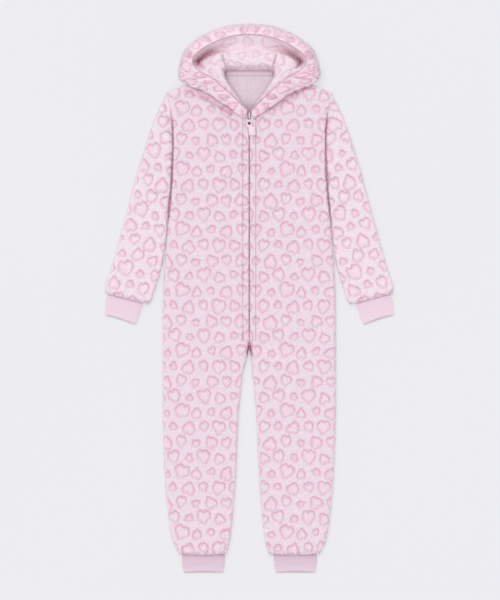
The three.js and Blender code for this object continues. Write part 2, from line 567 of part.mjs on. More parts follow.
// The pull: a round head hung by its eye on the bridge, and a wide tail that lies to the right of the zip.
function pull() {
  const { bar, headRadius, holeRadius, tailX, tailHalf, tailEndY, tailLean } = PULL;
  const eyeTop = HINGE.y + bar / 2;
  const headY = eyeTop - headRadius;
  const head = new THREE.Shape().absarc(0, headY, headRadius, 0, 2 * Math.PI);
  head.holes.push(new THREE.Path().absarc(0, eyeTop - bar - holeRadius, holeRadius, 0, 2 * Math.PI, true));
  const ring = solidFrom(
    new THREE.ExtrudeGeometry(head, { depth: bar, bevelEnabled: false, curveSegments: 12 }).translate(
      0,
      0,
      HINGE.z - bar / 2,
    ),
  );
  const tailTop = headY - headRadius * 0.62;
  const tail = new THREE.BoxGeometry(2 * tailHalf, tailTop - tailEndY, bar)
    .rotateZ(tailLean)
    .translate(tailX, (tailTop + tailEndY) / 2, HINGE.z);
  return meshFrom(ring.add(solidFrom(tail)), "pull_tab", pullEnamel);
}

const onesie = new THREE.Group();
for (const side of [-1, 1]) {
  const hand = side < 0 ? "left" : "right";
  onesie.add(panel(side, true));
  onesie.add(panel(side, false));
  onesie.add(sleeve(side));
  onesie.add(cuff(`sleeve_cuff_${hand}`, side, SLEEVE_CUFF));
  onesie.add(cuff(`leg_cuff_${hand}`, side, LEG_CUFF));
  onesie.add(hoodPiece(`hood_${hand}`, side, HOOD_OUTER, HOOD_GRID.outer, HOOD_CLOTH, false));
  onesie.add(hoodPiece(`hood_lining_${hand}`, side, HOOD_LINING, HOOD_GRID.lining, LINING_CLOTH, true));
}
onesie.add(neckTape(), zip(), slider(), pull());

export default onesie;
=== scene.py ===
"""The looks of a child's hooded onesie pajama, laid flat: plush with carved hearts, rib cuffs and a zip.

Shapes are worked out in millimetres, in the frame of the solids, and turned into metres when a mesh is made.
X runs to the right seen from above, Y towards the hood, and Z up from the surface that the garment lies on.
"""
import logging
import math
from dataclasses import dataclass, field
from enum import Enum
from typing import NamedTuple, Sequence

import bpy
import numpy as np
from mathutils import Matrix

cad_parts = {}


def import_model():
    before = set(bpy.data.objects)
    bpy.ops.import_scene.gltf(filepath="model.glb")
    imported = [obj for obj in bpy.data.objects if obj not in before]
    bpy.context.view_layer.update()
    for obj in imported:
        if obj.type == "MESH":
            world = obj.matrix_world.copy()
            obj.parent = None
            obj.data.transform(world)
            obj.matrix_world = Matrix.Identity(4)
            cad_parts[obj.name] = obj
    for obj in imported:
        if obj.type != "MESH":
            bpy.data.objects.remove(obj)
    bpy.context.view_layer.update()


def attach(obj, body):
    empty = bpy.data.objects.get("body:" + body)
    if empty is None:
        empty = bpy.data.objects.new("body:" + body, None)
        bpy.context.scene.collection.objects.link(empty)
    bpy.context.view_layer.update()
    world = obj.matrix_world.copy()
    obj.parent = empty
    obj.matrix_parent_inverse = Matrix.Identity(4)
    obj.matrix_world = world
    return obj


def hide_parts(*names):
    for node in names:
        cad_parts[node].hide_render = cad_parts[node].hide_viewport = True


Array = np.ndarray
Colour = tuple[float, float, float, float]
Socket = bpy.types.NodeSocket
MM = 0.001
FAR = 1e5
PLAIN = 30.0
FADE_LINES = 3.0
ENAMEL_METAL = 0.05
log = logging.getLogger("onesie")

# Cloth and lengthways places, as in the solids
FLEECE = 5.2
HOOD_CLOTH = 3.2
LINING_CLOTH = 4.6
RIB = 3.0
MIDDLE = 7.0
SEAM_GAP = 0.4
CROWN_SEAM_GAP = 0.12
BUTT_GAP = 0.3
NECK_BACK_Y = 489.0
NECK_POINT = (76.0, 487.0)
SHOULDER_TIP = (177.0, 442.0)
UNDERARM_Y = 287.0
ZIP_TOP_Y = 398.0
ZIP_END_Y = -67.0
ZIP_CLOSES = 30.0
CROTCH_Y = -104.0
LEG_HEM_Y = -548.0
LEG_GAP_SHIFT = -4.0
ZIP_HALF_SLOT = 0.95
ZIP_TOP_HALF = 3.3
TOPSTITCH_X = 14.0
TOPSTITCH_END_Y = -88.0


class Side(Enum):
    """The wearer's halves, by their sign along X."""

    LEFT = -1
    RIGHT = 1

    @property
    def hand(self) -> str:
        """The half's name in the nodes."""
        return self.name.lower()


class Face(Enum):
    """Whether a panel is the front or the back, by its sign along Z."""

    FRONT = 1
    BACK = -1


class OutlineRow(NamedTuple):
    """The body's outer edge and half of the gap between the legs, at one height."""

    y: float
    outer: float
    gap: float


BODY_OUTLINE = (
    OutlineRow(442, 177, 0),
    OutlineRow(416, 171.5, 0),
    OutlineRow(389, 167, 0),
    OutlineRow(360, 164, 0),
    OutlineRow(320, 164, 0),
    OutlineRow(266, 166, 0),
    OutlineRow(212, 170, 0),
    OutlineRow(152, 175.7, 0),
    OutlineRow(105, 179, 0),
    OutlineRow(62, 182, 0),
    OutlineRow(19, 184.5, 0),
    OutlineRow(-67, 185.6, 0),
    OutlineRow(-104, 185.6, 0.2),
    OutlineRow(-119, 185.6, 3),
    OutlineRow(-153, 185.6, 9.3),
    OutlineRow(-196, 185.6, 14.6),
    OutlineRow(-260, 185.2, 20.3),
    OutlineRow(-347, 182.2, 24),
    OutlineRow(-411, 179, 27.5),
    OutlineRow(-454, 174.5, 31),
    OutlineRow(-497, 169, 35.5),
    OutlineRow(-522, 163.5, 39),
    OutlineRow(-540, 155, 43.5),
    OutlineRow(-548, 149.5, 48),
)


class NeckPoint(NamedTuple):
    """A point of the front neckline, from the zip out to the shoulder."""

    x: float
    y: float


FRONT_NECK = (
    NeckPoint(1.6, 399),
    NeckPoint(12, 408),
    NeckPoint(22, 423),
    NeckPoint(36, 443),
    NeckPoint(50, 463),
    NeckPoint(62, 477),
    NeckPoint(76, 487),
)


class SleeveRow(NamedTuple):
    """The sleeve's two edges at one section, from the armhole at 0 to the hem at 1."""

    at: float
    outer_x: float
    outer_y: float
    inner_x: float
    inner_y: float


SLEEVE_OUTLINE = (
    SleeveRow(0.0, 178.5, 441.5, 166.6, 286),
    SleeveRow(0.07, 188.5, 421, 168.2, 258),
    SleeveRow(0.2, 208.5, 369, 171.2, 221),
    SleeveRow(0.33, 225.5, 319, 175.2, 176),
    SleeveRow(0.46, 241, 266, 179.4, 127),
    SleeveRow(0.58, 255.5, 212, 184.6, 87),
    SleeveRow(0.7, 269.5, 160, 190.8, 60),
    SleeveRow(0.82, 285, 104, 198.4, 36),
    SleeveRow(0.92, 300, 53, 206, 13),
    SleeveRow(0.97, 308.2, 27, 210.2, -2.5),
    SleeveRow(1.0, 306.8, 11, 218.2, -11.6),
)


class Crease(NamedTuple):
    """A soft trough or ridge in the front: both ends, half width and height."""

    x1: float
    y1: float
    x2: float
    y2: float
    half: float
    height: float


FOLDS = (
    Crease(-100, 436, -40, 398, 4.0, -3.2),
    Crease(-98, 424, -44, 392, 7, 1.5),
    Crease(-136, 448, -104, 432, 5, -1.6),
    Crease(104, 441, 56, 411, 7, -1.5),
    Crease(-162, 330, -112, 372, 12, -1.1),
    Crease(160, 318, 104, 362, 13, -1.2),
    Crease(-168, 236, -128, 262, 14, 0.9),
    Crease(164, 180, 122, 226, 15, 0.9),
    Crease(-18, -112, -78, -60, 13, -1.2),
    Crease(20, -118, 92, -74, 14, -1.1),
    Crease(-150, -20, -120, -150, 20, 0.9),
    Crease(138, -60, 150, -200, 18, -0.8),
    Crease(-74, -300, -112, -340, 16, 0.9),
    Crease(118, -330, 70, -372, 16, -0.9),
)


class HoodLiningRow(NamedTuple):
    """One section of the hood's lining, from the neck over its roll to the hood's edge."""

    neck: Sequence[float]
    foot: Sequence[float]
    roll: Sequence[float]
    ridge: Sequence[float]
    hollow: Sequence[float]
    rim: Sequence[float]


HOOD_LINING = (
    HoodLiningRow(
        (0, 490, 10.6), (0, 494, 22), (0, 503.5, 36),
        (0, 527, 39.5), (0, 540, 33), (0, 565.8, 48),
    ),
    HoodLiningRow(
        (24, 490, 10.6), (25, 494, 22), (26, 503.5, 36),
        (28.5, 527, 39.5), (31, 539.5, 31), (38, 561.8, 48),
    ),
    HoodLiningRow(
        (43, 490, 10.6), (44, 493.5, 20), (47.5, 502, 34),
        (58, 526.5, 39), (66, 535, 24), (80, 546.4, 47),
    ),
    HoodLiningRow(
        (52, 486.5, 10.6), (54, 489, 22), (59.5, 496, 36),
        (87, 515, 39.5), (95, 520, 17), (113.7, 524.6, 45.5),
    ),
    HoodLiningRow(
        (52, 478, 10.6), (54.5, 480, 24), (61, 485.5, 36),
        (97, 500.5, 39), (110, 505.5, 22), (121.8, 505.7, 43.5),
    ),
    HoodLiningRow(
        (46.5, 467, 10.6), (49, 468.5, 24), (55, 472, 34.5),
        (77, 482, 38), (93, 487, 39), (108.4, 489.7, 40.2),
    ),
    HoodLiningRow(
        (35, 450, 10.6), (37, 451.3, 22), (41.5, 454.3, 31.5),
        (53, 461, 34.8), (66, 467, 36), (79, 472, 36.5),
    ),
    HoodLiningRow(
        (22, 429.5, 10.6), (24, 430.8, 19), (27, 433, 26),
        (33, 437.5, 29.5), (40, 441.5, 31), (47, 446, 31.5),
    ),
    HoodLiningRow(
        (3.3, 402.6, 14.6), (3.6, 403.2, 16.6), (3.9, 403.8, 18.4),
        (4.2, 404.4, 19.8), (4.5, 405, 20.9), (4.8, 405.8, 21.8),
    ),
)


class HoodOuterRow(NamedTuple):
    """One section of the hood's outer fleece, from its edge over the band and in under itself."""

    rim: Sequence[float]
    band: Sequence[float]
    side: Sequence[float]
    under: Sequence[float]
    floor: Sequence[float]
    end: Sequence[float]


HOOD_OUTER = (
    HoodOuterRow(
        (0, 567, 51), (0, 581, 43), (0, 589.4, 23),
        (0, 583, 3.6), (0, 562, 0), (0, 489.4, 0),
    ),
    HoodOuterRow(
        (38.5, 563, 51), (44, 576, 43), (48, 584.6, 23),
        (46, 578, 3.6), (38, 556, 0), (26, 489.4, 0),
    ),
    HoodOuterRow(
        (81, 547.5, 50), (91, 558.5, 42), (98, 566, 22.5),
        (94, 560, 3.6), (84, 544, 0), (60, 489.2, 0),
    ),
    HoodOuterRow(
        (114.8, 525.4, 48.5), (125.5, 533, 41), (133.5, 538, 22),
        (129.5, 533.5, 3.6), (117, 524, 0), (87, 483.6, 0),
    ),
    HoodOuterRow(
        (123, 506, 46.5), (137, 506.5, 39), (147.6, 506.5, 22),
        (143, 505, 3.6), (130, 502, 0), (107, 475.4, 0),
    ),
    HoodOuterRow(
        (109.5, 489, 43), (133, 483.5, 37), (150, 478, 22),
        (147, 477.5, 13), (139, 477, 8.5), (123, 471.5, 12.5),
    ),
    HoodOuterRow(
        (80, 471, 39), (106, 467, 35), (131, 460.5, 24),
        (130.5, 461.5, 20), (125, 464.5, 16.6), (113, 469, 16.4),
    ),
    HoodOuterRow(
        (48, 445, 34), (65, 442, 31.5), (82, 437.5, 23),
        (81.5, 438.3, 19.5), (76, 440.5, 16.4), (66, 443.5, 16.2),
    ),
    HoodOuterRow(
        (4, 404, 21.8), (5.8, 395.5, 21.2), (9.4, 386.8, 18.6),
        (9.2, 387.6, 17.4), (8.6, 391.2, 16.2), (6.2, 398, 16.1),
    ),
)


class Heart(NamedTuple):
    """One heart of the repeat: its middle, its height, its turn and how broad it is."""

    x: float
    y: float
    height: float
    turn: float
    breadth: float


# The repeat was laid out one by one: seven columns of four hearts, in three sizes and all ways up.
HEART_REPEAT = (
    Heart(15, 17, 25, 10, 0.86),
    Heart(48, 13, 15, 165, 0.9),
    Heart(80, 18, 31, -25, 0.9),
    Heart(112, 14, 23, 178, 0.8),
    Heart(144, 17, 16, 35, 0.9),
    Heart(177, 14, 27, 152, 0.86),
    Heart(209, 18, 22, -10, 0.84),
    Heart(31, 47, 23, 205, 0.84),
    Heart(64, 50, 27, 20, 0.84),
    Heart(96, 47, 16, -65, 0.9),
    Heart(128, 50, 30, 5, 0.86),
    Heart(161, 46, 24, -158, 0.82),
    Heart(193, 50, 16, 100, 0.9),
    Heart(223, 47, 27, 28, 0.88),
    Heart(14, 81, 16, -30, 0.88),
    Heart(46, 79, 30, 172, 0.86),
    Heart(79, 83, 24, -12, 0.8),
    Heart(111, 79, 16, 125, 0.9),
    Heart(144, 82, 26, -148, 0.86),
    Heart(177, 80, 23, 15, 0.8),
    Heart(208, 82, 28, 190, 0.88),
    Heart(31, 113, 26, -20, 0.84),
    Heart(63, 115, 16, 55, 0.9),
    Heart(95, 112, 27, 165, 0.88),
    Heart(128, 115, 22, 25, 0.8),
    Heart(160, 112, 30, -10, 0.86),
    Heart(193, 115, 24, 208, 0.82),
    Heart(223, 112, 16, -95, 0.9),
)


def soft_step(low: float, high: float, value: Array) -> Array:
    """Rises from 0 at low to 1 at high along a smooth cubic.

    Args:
        low: where the step starts.
        high: where it ends, above low.
        value: the places to work it out at.

    Returns:
        The step's height at each place.
    """
    t = np.clip((value - low) / (high - low), 0.0, 1.0)
    return t * t * (3.0 - 2.0 * t)


def risen(distance: Array, reach: float) -> Array:
    """How far a round fold has risen at a distance from its edge: the sine of a quarter circle.

    Args:
        distance: distances from the folded edge.
        reach: where the fold is at its full height.

    Returns:
        Shares of the full height, from 0 to 1.
    """
    return np.sqrt(1.0 - (1.0 - np.clip(distance / reach, 0.0, 1.0)) ** 2)


def mix(a: Array, b: Array, share: Array) -> Array:
    """The value between a and b at a share of the way."""
    return a + (b - a) * share


def bent(wave: Array, power: float) -> Array:
    """A sine or cosine with its size raised to a power and its sign kept: below 1 it squares an oval."""
    return np.sign(wave) * np.abs(wave) ** power


def bell(away: Array, half: float) -> Array:
    """A bell of height 1, which falls off with the square of the distance over its half width."""
    return np.exp(-((away / half) ** 2))


def column(table: Sequence[NamedTuple], key: str, name: str, at: Array) -> Array:
    """A table's column at any station, on a cubic whose slopes are harmonic means, so it keeps between rows.

    Args:
        table: rows that rise or fall in their key.
        key: the column that holds the stations.
        name: the column to read.
        at: the stations to read it at.

    Returns:
        The column's value at each station.
    """
    keys = np.array([getattr(row, key) for row in table], dtype=float)
    values = np.array([getattr(row, name) for row in table], dtype=float)
    if keys[0] > keys[-1]:
        keys, values = keys[::-1], values[::-1]
    at = np.clip(at, keys[0], keys[-1])
    k = np.clip(np.searchsorted(keys, at, side="right") - 1, 0, len(keys) - 2)
    step = np.diff(keys)
    rise = np.diff(values) / step
    product = rise[:-1] * rise[1:]
    total = np.where(product > 0, rise[:-1] + rise[1:], 1.0)
    slope = np.concatenate([rise[:1], np.where(product > 0, 2 * product / total, 0.0), rise[-1:]])
    t = (at - keys[k]) / step[k]
    cubic = values[k] * (1 + 2 * t) * (1 - t) ** 2 + values[k + 1] * t * t * (3 - 2 * t)
    return cubic + step[k] * (slope[k] * t * (1 - t) ** 2 - slope[k + 1] * t * t * (1 - t))


def through(points: Array, t: Array) -> Array:
    """Points on a smooth cubic through evenly numbered points, its slopes half the neighbours' span.

    Args:
        points: the points, counted along the first axis.
        t: places from 0 to 1.

    Returns:
        The curve at each place, counted along the first axis.
    """
    last = len(points) - 1
    place = np.clip(t, 0.0, 1.0) * last
    k = np.minimum(place.astype(int), last - 1)
    f = (place - k).reshape((-1,) + (1,) * (points.ndim - 1))
    ends = np.concatenate([2 * points[:1] - points[1:2], points, 2 * points[-1:] - points[-2:-1]])
    a, b, c, d = ends[k], ends[k + 1], ends[k + 2], ends[k + 3]
    return 0.5 * (2 * b + (c - a) * f + (2 * a - 5 * b + 4 * c - d) * f * f + (3 * b - a - 3 * c + d) * f**3)


def value_noise(x: Array, y: Array, cell: float, seed: int) -> Array:
    """Smooth noise: a lattice of seeded values from -1 to 1, blended between its corners by a cubic.

    Args:
        x: places along the first axis.
        y: places along the second axis.
        cell: the lattice's spacing.
        seed: picks the lattice's values.

    Returns:
        The noise at each place.
    """
    side = 256
    lattice = np.random.default_rng(seed).uniform(-1.0, 1.0, (side, side))
    gx, gy = x / cell, y / cell
    ix, iy = np.floor(gx).astype(int), np.floor(gy).astype(int)
    fx, fy = gx - ix, gy - iy
    fx, fy = fx * fx * (3 - 2 * fx), fy * fy * (3 - 2 * fy)
    x0, x1, y0, y1 = ix % side, (ix + 1) % side, iy % side, (iy + 1) % side
    low = mix(lattice[x0, y0], lattice[x1, y0], fx)
    high = mix(lattice[x0, y1], lattice[x1, y1], fx)
    return mix(low, high, fy)


def grid_normals(points: Array, away_from: Array, tube: bool = False) -> Array:
    """Unit normals of a grid of points: the cross product of its differences along rows and columns.

    Args:
        points: rows by columns of points.
        away_from: a point, or one for each grid point, that the normals point away from on the whole.
        tube: whether the columns close on themselves.

    Returns:
        A normal for each grid point.
    """
    along = np.gradient(points, axis=0)
    if tube:
        over = (np.roll(points, -1, axis=1) - np.roll(points, 1, axis=1)) / 2
    else:
        over = np.gradient(points, axis=1)
    normals = np.cross(along, over)
    length = np.linalg.norm(normals, axis=2, keepdims=True)
    normals = normals / np.maximum(length, 1e-9)
    if np.sum(normals * (points - away_from)) < 0:
        normals = -normals
    return normals


def run_across(points: Array, start: int, grain: Sequence[float] = (0.0, 0.0, 0.0)) -> Array:
    """Length of cloth along each row from a column, less what runs with the grain: a running sum of steps.

    Args:
        points: rows by columns of points.
        start: the column to measure from.
        grain: unit vector along the cloth's length, or zero to count the whole step.

    Returns:
        The signed length at each grid point.
    """
    steps = np.diff(points, axis=1)
    with_grain = steps @ np.array(grain)
    lengths = np.sqrt(np.maximum(np.sum(steps**2, axis=2) - with_grain**2, 0.0))
    run = np.concatenate([np.zeros((len(points), 1)), np.cumsum(lengths, axis=1)], axis=1)
    return run - run[:, start : start + 1]


@dataclass(frozen=True)
class HeartChart:
    """The repeat of carved hearts, as a distance from the nearest heart's outline."""

    width: float = 225.0
    height: float = 130.0
    rounding: float = 0.24
    wander: float = 2.0
    wander_cell: float = 15.0
    plain_height: float = 1.104
    hearts: tuple[Heart, ...] = HEART_REPEAT

    def read(self, u: Array, v: Array) -> tuple[Array, Array]:
        """Distance from the outlines, and the tone of the nearest heart.

        Places are first moved a little by noise, so no two hearts have one outline. A heart, in units of its
        own size, is the union of a corner, its two straight sides and two round lobes. Its distance is the
        least of those to the lobe's circle, the notch and the diagonal side, less a rounding. A bell deepens
        the notch.

        Args:
            u: places across the cloth.
            v: places along the cloth.

        Returns:
            The signed distance in millimetres, below 0 inside a heart, and a tone from 0 to 1.
        """
        moved_u = u + self.wander * value_noise(u, v, self.wander_cell, 11)
        moved_v = v + self.wander * value_noise(u, v, self.wander_cell, 12)
        nearest = np.full(u.shape, 1e3)
        tone = np.zeros(u.shape)
        full_height = self.plain_height + 2 * self.rounding
        for number, heart in enumerate(self.hearts):
            du = (moved_u - heart.x + self.width / 2) % self.width - self.width / 2
            dv = (moved_v - heart.y + self.height / 2) % self.height - self.height / 2
            turn = math.radians(heart.turn)
            unit = heart.height / full_height
            px = np.abs(du * math.cos(turn) + dv * math.sin(turn)) / (unit * heart.breadth)
            py = (dv * math.cos(turn) - du * math.sin(turn)) / unit + self.plain_height / 2
            lobe = np.hypot(px - 0.25, py - 0.75) - math.sqrt(2) / 4
            diagonal = 0.5 * np.maximum(px + py, 0.0)
            to_side = np.hypot(px - diagonal, py - diagonal)
            side = np.minimum(np.hypot(px, py - 1.0), to_side) * np.sign(px - py)
            notch = 0.17 * np.exp(-((px / 0.19) ** 2) - ((py - 1.2) / 0.34) ** 2)
            away = (np.where(px + py > 1.0, lobe, side) + notch - self.rounding) * unit
            closer = away < nearest
            nearest = np.where(closer, away, nearest)
            tone = np.where(closer, (number * 0.618) % 1.0, tone)
        return nearest, tone


def facing_up(distance: Array, v: Array, axis: int) -> Array:
    """How far an outline faces up the cloth, where the pile lies over it and the hearts get more painted
    shade: the slope of its distance along v.

    Args:
        distance: signed distance from the hearts' outlines, on a grid.
        v: places along the cloth, on the same grid.
        axis: the grid's axis that runs along the cloth.

    Returns:
        A share from 0, facing down, to 1, facing up.
    """
    step = np.gradient(v, axis=axis)
    slope = np.gradient(distance, axis=axis) / np.where(np.abs(step) < 1e-6, 1e-6, step)
    return np.clip(0.5 + 0.5 * slope, 0.0, 1.0)


@dataclass(frozen=True)
class Relief:
    """The pile's height over its ground: carved outlines, plump hearts and uneven clumps."""

    groove_depth: float = 1.1
    groove_half: float = 2.1
    plump: float = 0.3
    clump: float = 0.55
    clump_cell: float = 5.5
    tuft: float = 0.2
    tuft_cell: float = 2.6

    def height(self, u: Array, v: Array, distance: Array, carving: float = 1.0) -> Array:
        """Height of the pile, a bell-shaped groove on each outline plus two sizes of noise.

        Args:
            u: places across the cloth.
            v: places along the cloth.
            distance: signed distance from the hearts' outlines.
            carving: how strongly the hearts are carved, 1 on the outside.

        Returns:
            Millimetres to add along the normal.
        """
        groove = -self.groove_depth * bell(distance - 0.4, self.groove_half)
        plump = self.plump * soft_step(1.0, 6.0, -distance)
        clumps = self.clump * value_noise(u, v, self.clump_cell, 3)
        tufts = self.tuft * value_noise(u, v, self.tuft_cell, 4)
        return carving * (groove + plump) + clumps + tufts


def counted(grid: Array) -> Array:
    """The numbers of a grid's points, row by row."""
    return np.arange(grid[:, :, 0].size).reshape(grid.shape[:2])


def cells(numbers: Array) -> Array:
    """Two triangles for each cell of a grid.

    Args:
        numbers: rows by columns of point numbers.

    Returns:
        Rows of three point numbers.
    """
    a, b = numbers[:-1, :-1].ravel(), numbers[:-1, 1:].ravel()
    c, d = numbers[1:, 1:].ravel(), numbers[1:, :-1].ravel()
    return np.concatenate([np.stack([a, b, c], axis=1), np.stack([a, c, d], axis=1)])


def facing_out(points: Array, triangles: Array) -> tuple[Array, Array]:
    """Turns a closed mesh's faces out: the sum of its corners' triple products is six times its volume.

    Args:
        points: the points.
        triangles: rows of three point numbers, all facing in or all facing out.

    Returns:
        The points, and the triangles, reversed where the volume comes out below 0.
    """
    a, b, c = (points[triangles[:, k]] for k in range(3))
    volume = np.einsum("ij,ij->", a, np.cross(b, c))
    return points, triangles[:, ::-1] if volume < 0 else triangles


def copies(faces: Array, points_each: int, count: int) -> Array:
    """The triangles of several copies of a small mesh, whose points follow each other."""
    return (faces[None] + (np.arange(count) * points_each)[:, None, None]).reshape(-1, 3)


@dataclass
class Shell:
    """A closed wall: a fine outer grid, a coarse inner grid, and a rim of fans that joins their borders."""

    outer: Array
    inner: Array
    tube: bool = False

    def arrays(self) -> tuple[Array, Array]:
        """Points and triangles of the whole wall, facing out.

        Returns:
            The points, outer grid first, and the triangles as rows of three point numbers.
        """
        fine = counted(self.outer)
        coarse = counted(self.inner) + fine.size
        points = np.concatenate([self.outer.reshape(-1, 3), self.inner.reshape(-1, 3)])
        parts = [self._grid(fine), self._grid(coarse)[:, ::-1]]
        parts += [self._fans(*loops) for loops in zip(self._borders(fine), self._borders(coarse))]
        return facing_out(points, np.concatenate(parts))

    def _grid(self, numbers: Array) -> Array:
        """The triangles of a grid of point numbers, which meets itself in a tube."""
        return cells(np.concatenate([numbers, numbers[:, :1]], axis=1) if self.tube else numbers)

    def _borders(self, numbers: Array) -> list[Array]:
        """The border loops of a grid, in the direction of its own triangles.

        Args:
            numbers: rows by columns of point numbers.

        Returns:
            The point numbers of each loop, two for a tube and one for a sheet.
        """
        if self.tube:
            return [numbers[0], numbers[-1, ::-1]]
        sides = [numbers[0, :-1], numbers[:-1, -1], numbers[-1, :0:-1], numbers[:0:-1, 0]]
        return [np.concatenate(sides)]

    @staticmethod
    def _fans(fine: Array, coarse: Array) -> Array:
        """Triangles between a fine closed loop and a coarse one that has one point for every few of its own.

        Args:
            fine: point numbers of the fine loop.
            coarse: point numbers of the coarse loop, an exact fraction as many.

        Returns:
            The rim's triangles: a fan about each coarse point, and one triangle where two fans meet.
        """
        ratio = len(fine) // len(coarse)
        step = np.arange(len(fine))
        hub = coarse[((step + ratio // 2) // ratio) % len(coarse)]
        fans = np.stack([np.roll(fine, -1), fine, hub], axis=1)
        seam = np.arange(len(coarse))
        meet = fine[((seam + 1) * ratio - ratio // 2) % len(fine)]
        joins = np.stack([meet, coarse, np.roll(coarse, -1)], axis=1)
        return np.concatenate([fans, joins])


def make_piece(
    name: str,
    points: Array,
    triangles: Array,
    material: bpy.types.Material,
    numbers: dict[str, Array] | None = None,
    smooth: bool = True,
) -> bpy.types.Object:
    """Puts points and triangles into a mesh object at the origin.

    Args:
        name: the piece's name.
        points: points in millimetres.
        triangles: rows of three point numbers.
        material: the finish.
        numbers: attributes with one number, or three, for each point.
        smooth: whether the faces shade smoothly.

    Returns:
        The new object, linked to the scene.
    """
    mesh = bpy.data.meshes.new(name)
    mesh.vertices.add(len(points))
    mesh.vertices.foreach_set("co", (points * MM).astype(np.float32).ravel())
    mesh.loops.add(3 * len(triangles))
    mesh.loops.foreach_set("vertex_index", triangles.astype(np.int32).ravel())
    mesh.polygons.add(len(triangles))
    mesh.polygons.foreach_set("loop_start", np.arange(0, 3 * len(triangles), 3, dtype=np.int32))
    mesh.polygons.foreach_set("use_smooth", np.full(len(triangles), smooth))
    mesh.update(calc_edges=True)
    for label, values in (numbers or {}).items():
        if values.ndim == 1:
            layer = mesh.attributes.new(label, "FLOAT", "POINT")
            layer.data.foreach_set("value", values.astype(np.float32))
        else:
            layer = mesh.attributes.new(label, "FLOAT_VECTOR", "POINT")
            layer.data.foreach_set("vector", values.astype(np.float32).ravel())
    mesh.materials.append(material)
    piece = bpy.data.objects.new(name, mesh)
    bpy.context.scene.collection.objects.link(piece)
    return piece


def second_finish(piece: bpy.types.Object, material: bpy.types.Material, chosen: Array) -> None:
    """Gives some faces of a piece another finish.

    Args:
        piece: the piece.
        material: the other finish.
        chosen: whether each face takes it.
    """
    piece.data.materials.append(material)
    piece.data.polygons.foreach_set("material_index", chosen.astype(np.int32))


def linear(red: int, green: int, blue: int) -> Colour:
    """Turns a colour given in display units of 0 to 255 into linear light.

    Args:
        red: display red.
        green: display green.
        blue: display blue.

    Returns:
        The colour's linear red, green and blue, and full alpha.
    """
    shares = (red / 255, green / 255, blue / 255)
    return (*(s / 12.92 if s <= 0.04045 else ((s + 0.055) / 1.055) ** 2.4 for s in shares), 1.0)


class Wiring:
    """A short way to add nodes to a tree and join them."""

    def __init__(self, tree: bpy.types.NodeTree) -> None:
        """Starts with a tree."""
        self.tree = tree

    def add(self, kind: str, inputs: dict | None = None, **settings) -> bpy.types.Node:
        """Adds a node.

        Args:
            kind: the node's type name.
            inputs: socket names or numbers, with a value or an output socket for each.
            settings: the node's own properties.

        Returns:
            The node.
        """
        node = self.tree.nodes.new(kind)
        for label, value in settings.items():
            setattr(node, label, value)
        self.feed(node, inputs or {})
        return node

    def feed(self, node: bpy.types.Node, inputs: dict) -> None:
        """Gives a node its inputs.

        Args:
            node: the node.
            inputs: socket names or numbers, with a value or an output socket for each.
        """
        for label, value in inputs.items():
            if isinstance(value, Socket):
                self.tree.links.new(value, node.inputs[label])
            else:
                node.inputs[label].default_value = value

    def maths(self, operation: str, *values: float | Socket) -> Socket:
        """A maths node's result."""
        return self.add("ShaderNodeMath", dict(enumerate(values)), operation=operation).outputs[0]

    def step(self, value: Socket, low: float, high: float) -> Socket:
        """A smooth step of a value from low to high, clamped to 0 and 1."""
        inputs = {"Value": value, "From Min": low, "From Max": high}
        return self.add("ShaderNodeMapRange", inputs, interpolation_type="SMOOTHSTEP").outputs[0]

    def noise(self, place: Socket, scale: float | Socket, detail: float, distortion: float = 0.0) -> Socket:
        """A noise texture's value at a place."""
        inputs = {"Vector": place, "Scale": scale, "Detail": detail, "Distortion": distortion}
        return self.add("ShaderNodeTexNoise", inputs).outputs[0]

    def bump(self, strength: float, depth: float, height: Socket) -> Socket:
        """The normal that a height gives, its depth in metres."""
        inputs = {"Strength": strength, "Distance": depth, "Height": height}
        return self.add("ShaderNodeBump", inputs).outputs[0]

    def number(self, name: str) -> Socket:
        """One of a piece's own numbers, by its attribute's name."""
        return self.add("ShaderNodeAttribute", attribute_name=name).outputs["Fac"]

    def cloth_place(self) -> Socket:
        """Where each point lies in the flat cloth."""
        return self.add("ShaderNodeAttribute", attribute_name="cloth_place").outputs["Vector"]

    def blend(
        self, share: float | Socket, first: Colour | Socket, second: Colour | Socket, mode: str = "MIX"
    ) -> Socket:
        """A mix of two colours.

        Args:
            share: how much of the second.
            first: a colour or colour socket.
            second: another.
            mode: how they mix.

        Returns:
            The mixed colour.
        """
        inputs = {0: share, 6: first, 7: second}
        return self.add("ShaderNodeMix", inputs, data_type="RGBA", blend_type=mode).outputs[2]


def new_group(name: str, inputs: dict[str, str], outputs: dict[str, str]) -> Wiring:
    """Starts a shader node group.

    Args:
        name: the group's name.
        inputs: input names and socket types.
        outputs: output names and socket types.

    Returns:
        A way to wire the group's tree.
    """
    tree = bpy.data.node_groups.new(name, "ShaderNodeTree")
    for label, kind in inputs.items():
        tree.interface.new_socket(label, in_out="INPUT", socket_type=kind)
    for label, kind in outputs.items():
        tree.interface.new_socket(label, in_out="OUTPUT", socket_type=kind)
    return Wiring(tree)


NUMBER = "NodeSocketFloat"
COLOUR = "NodeSocketColor"
VECTOR = "NodeSocketVector"


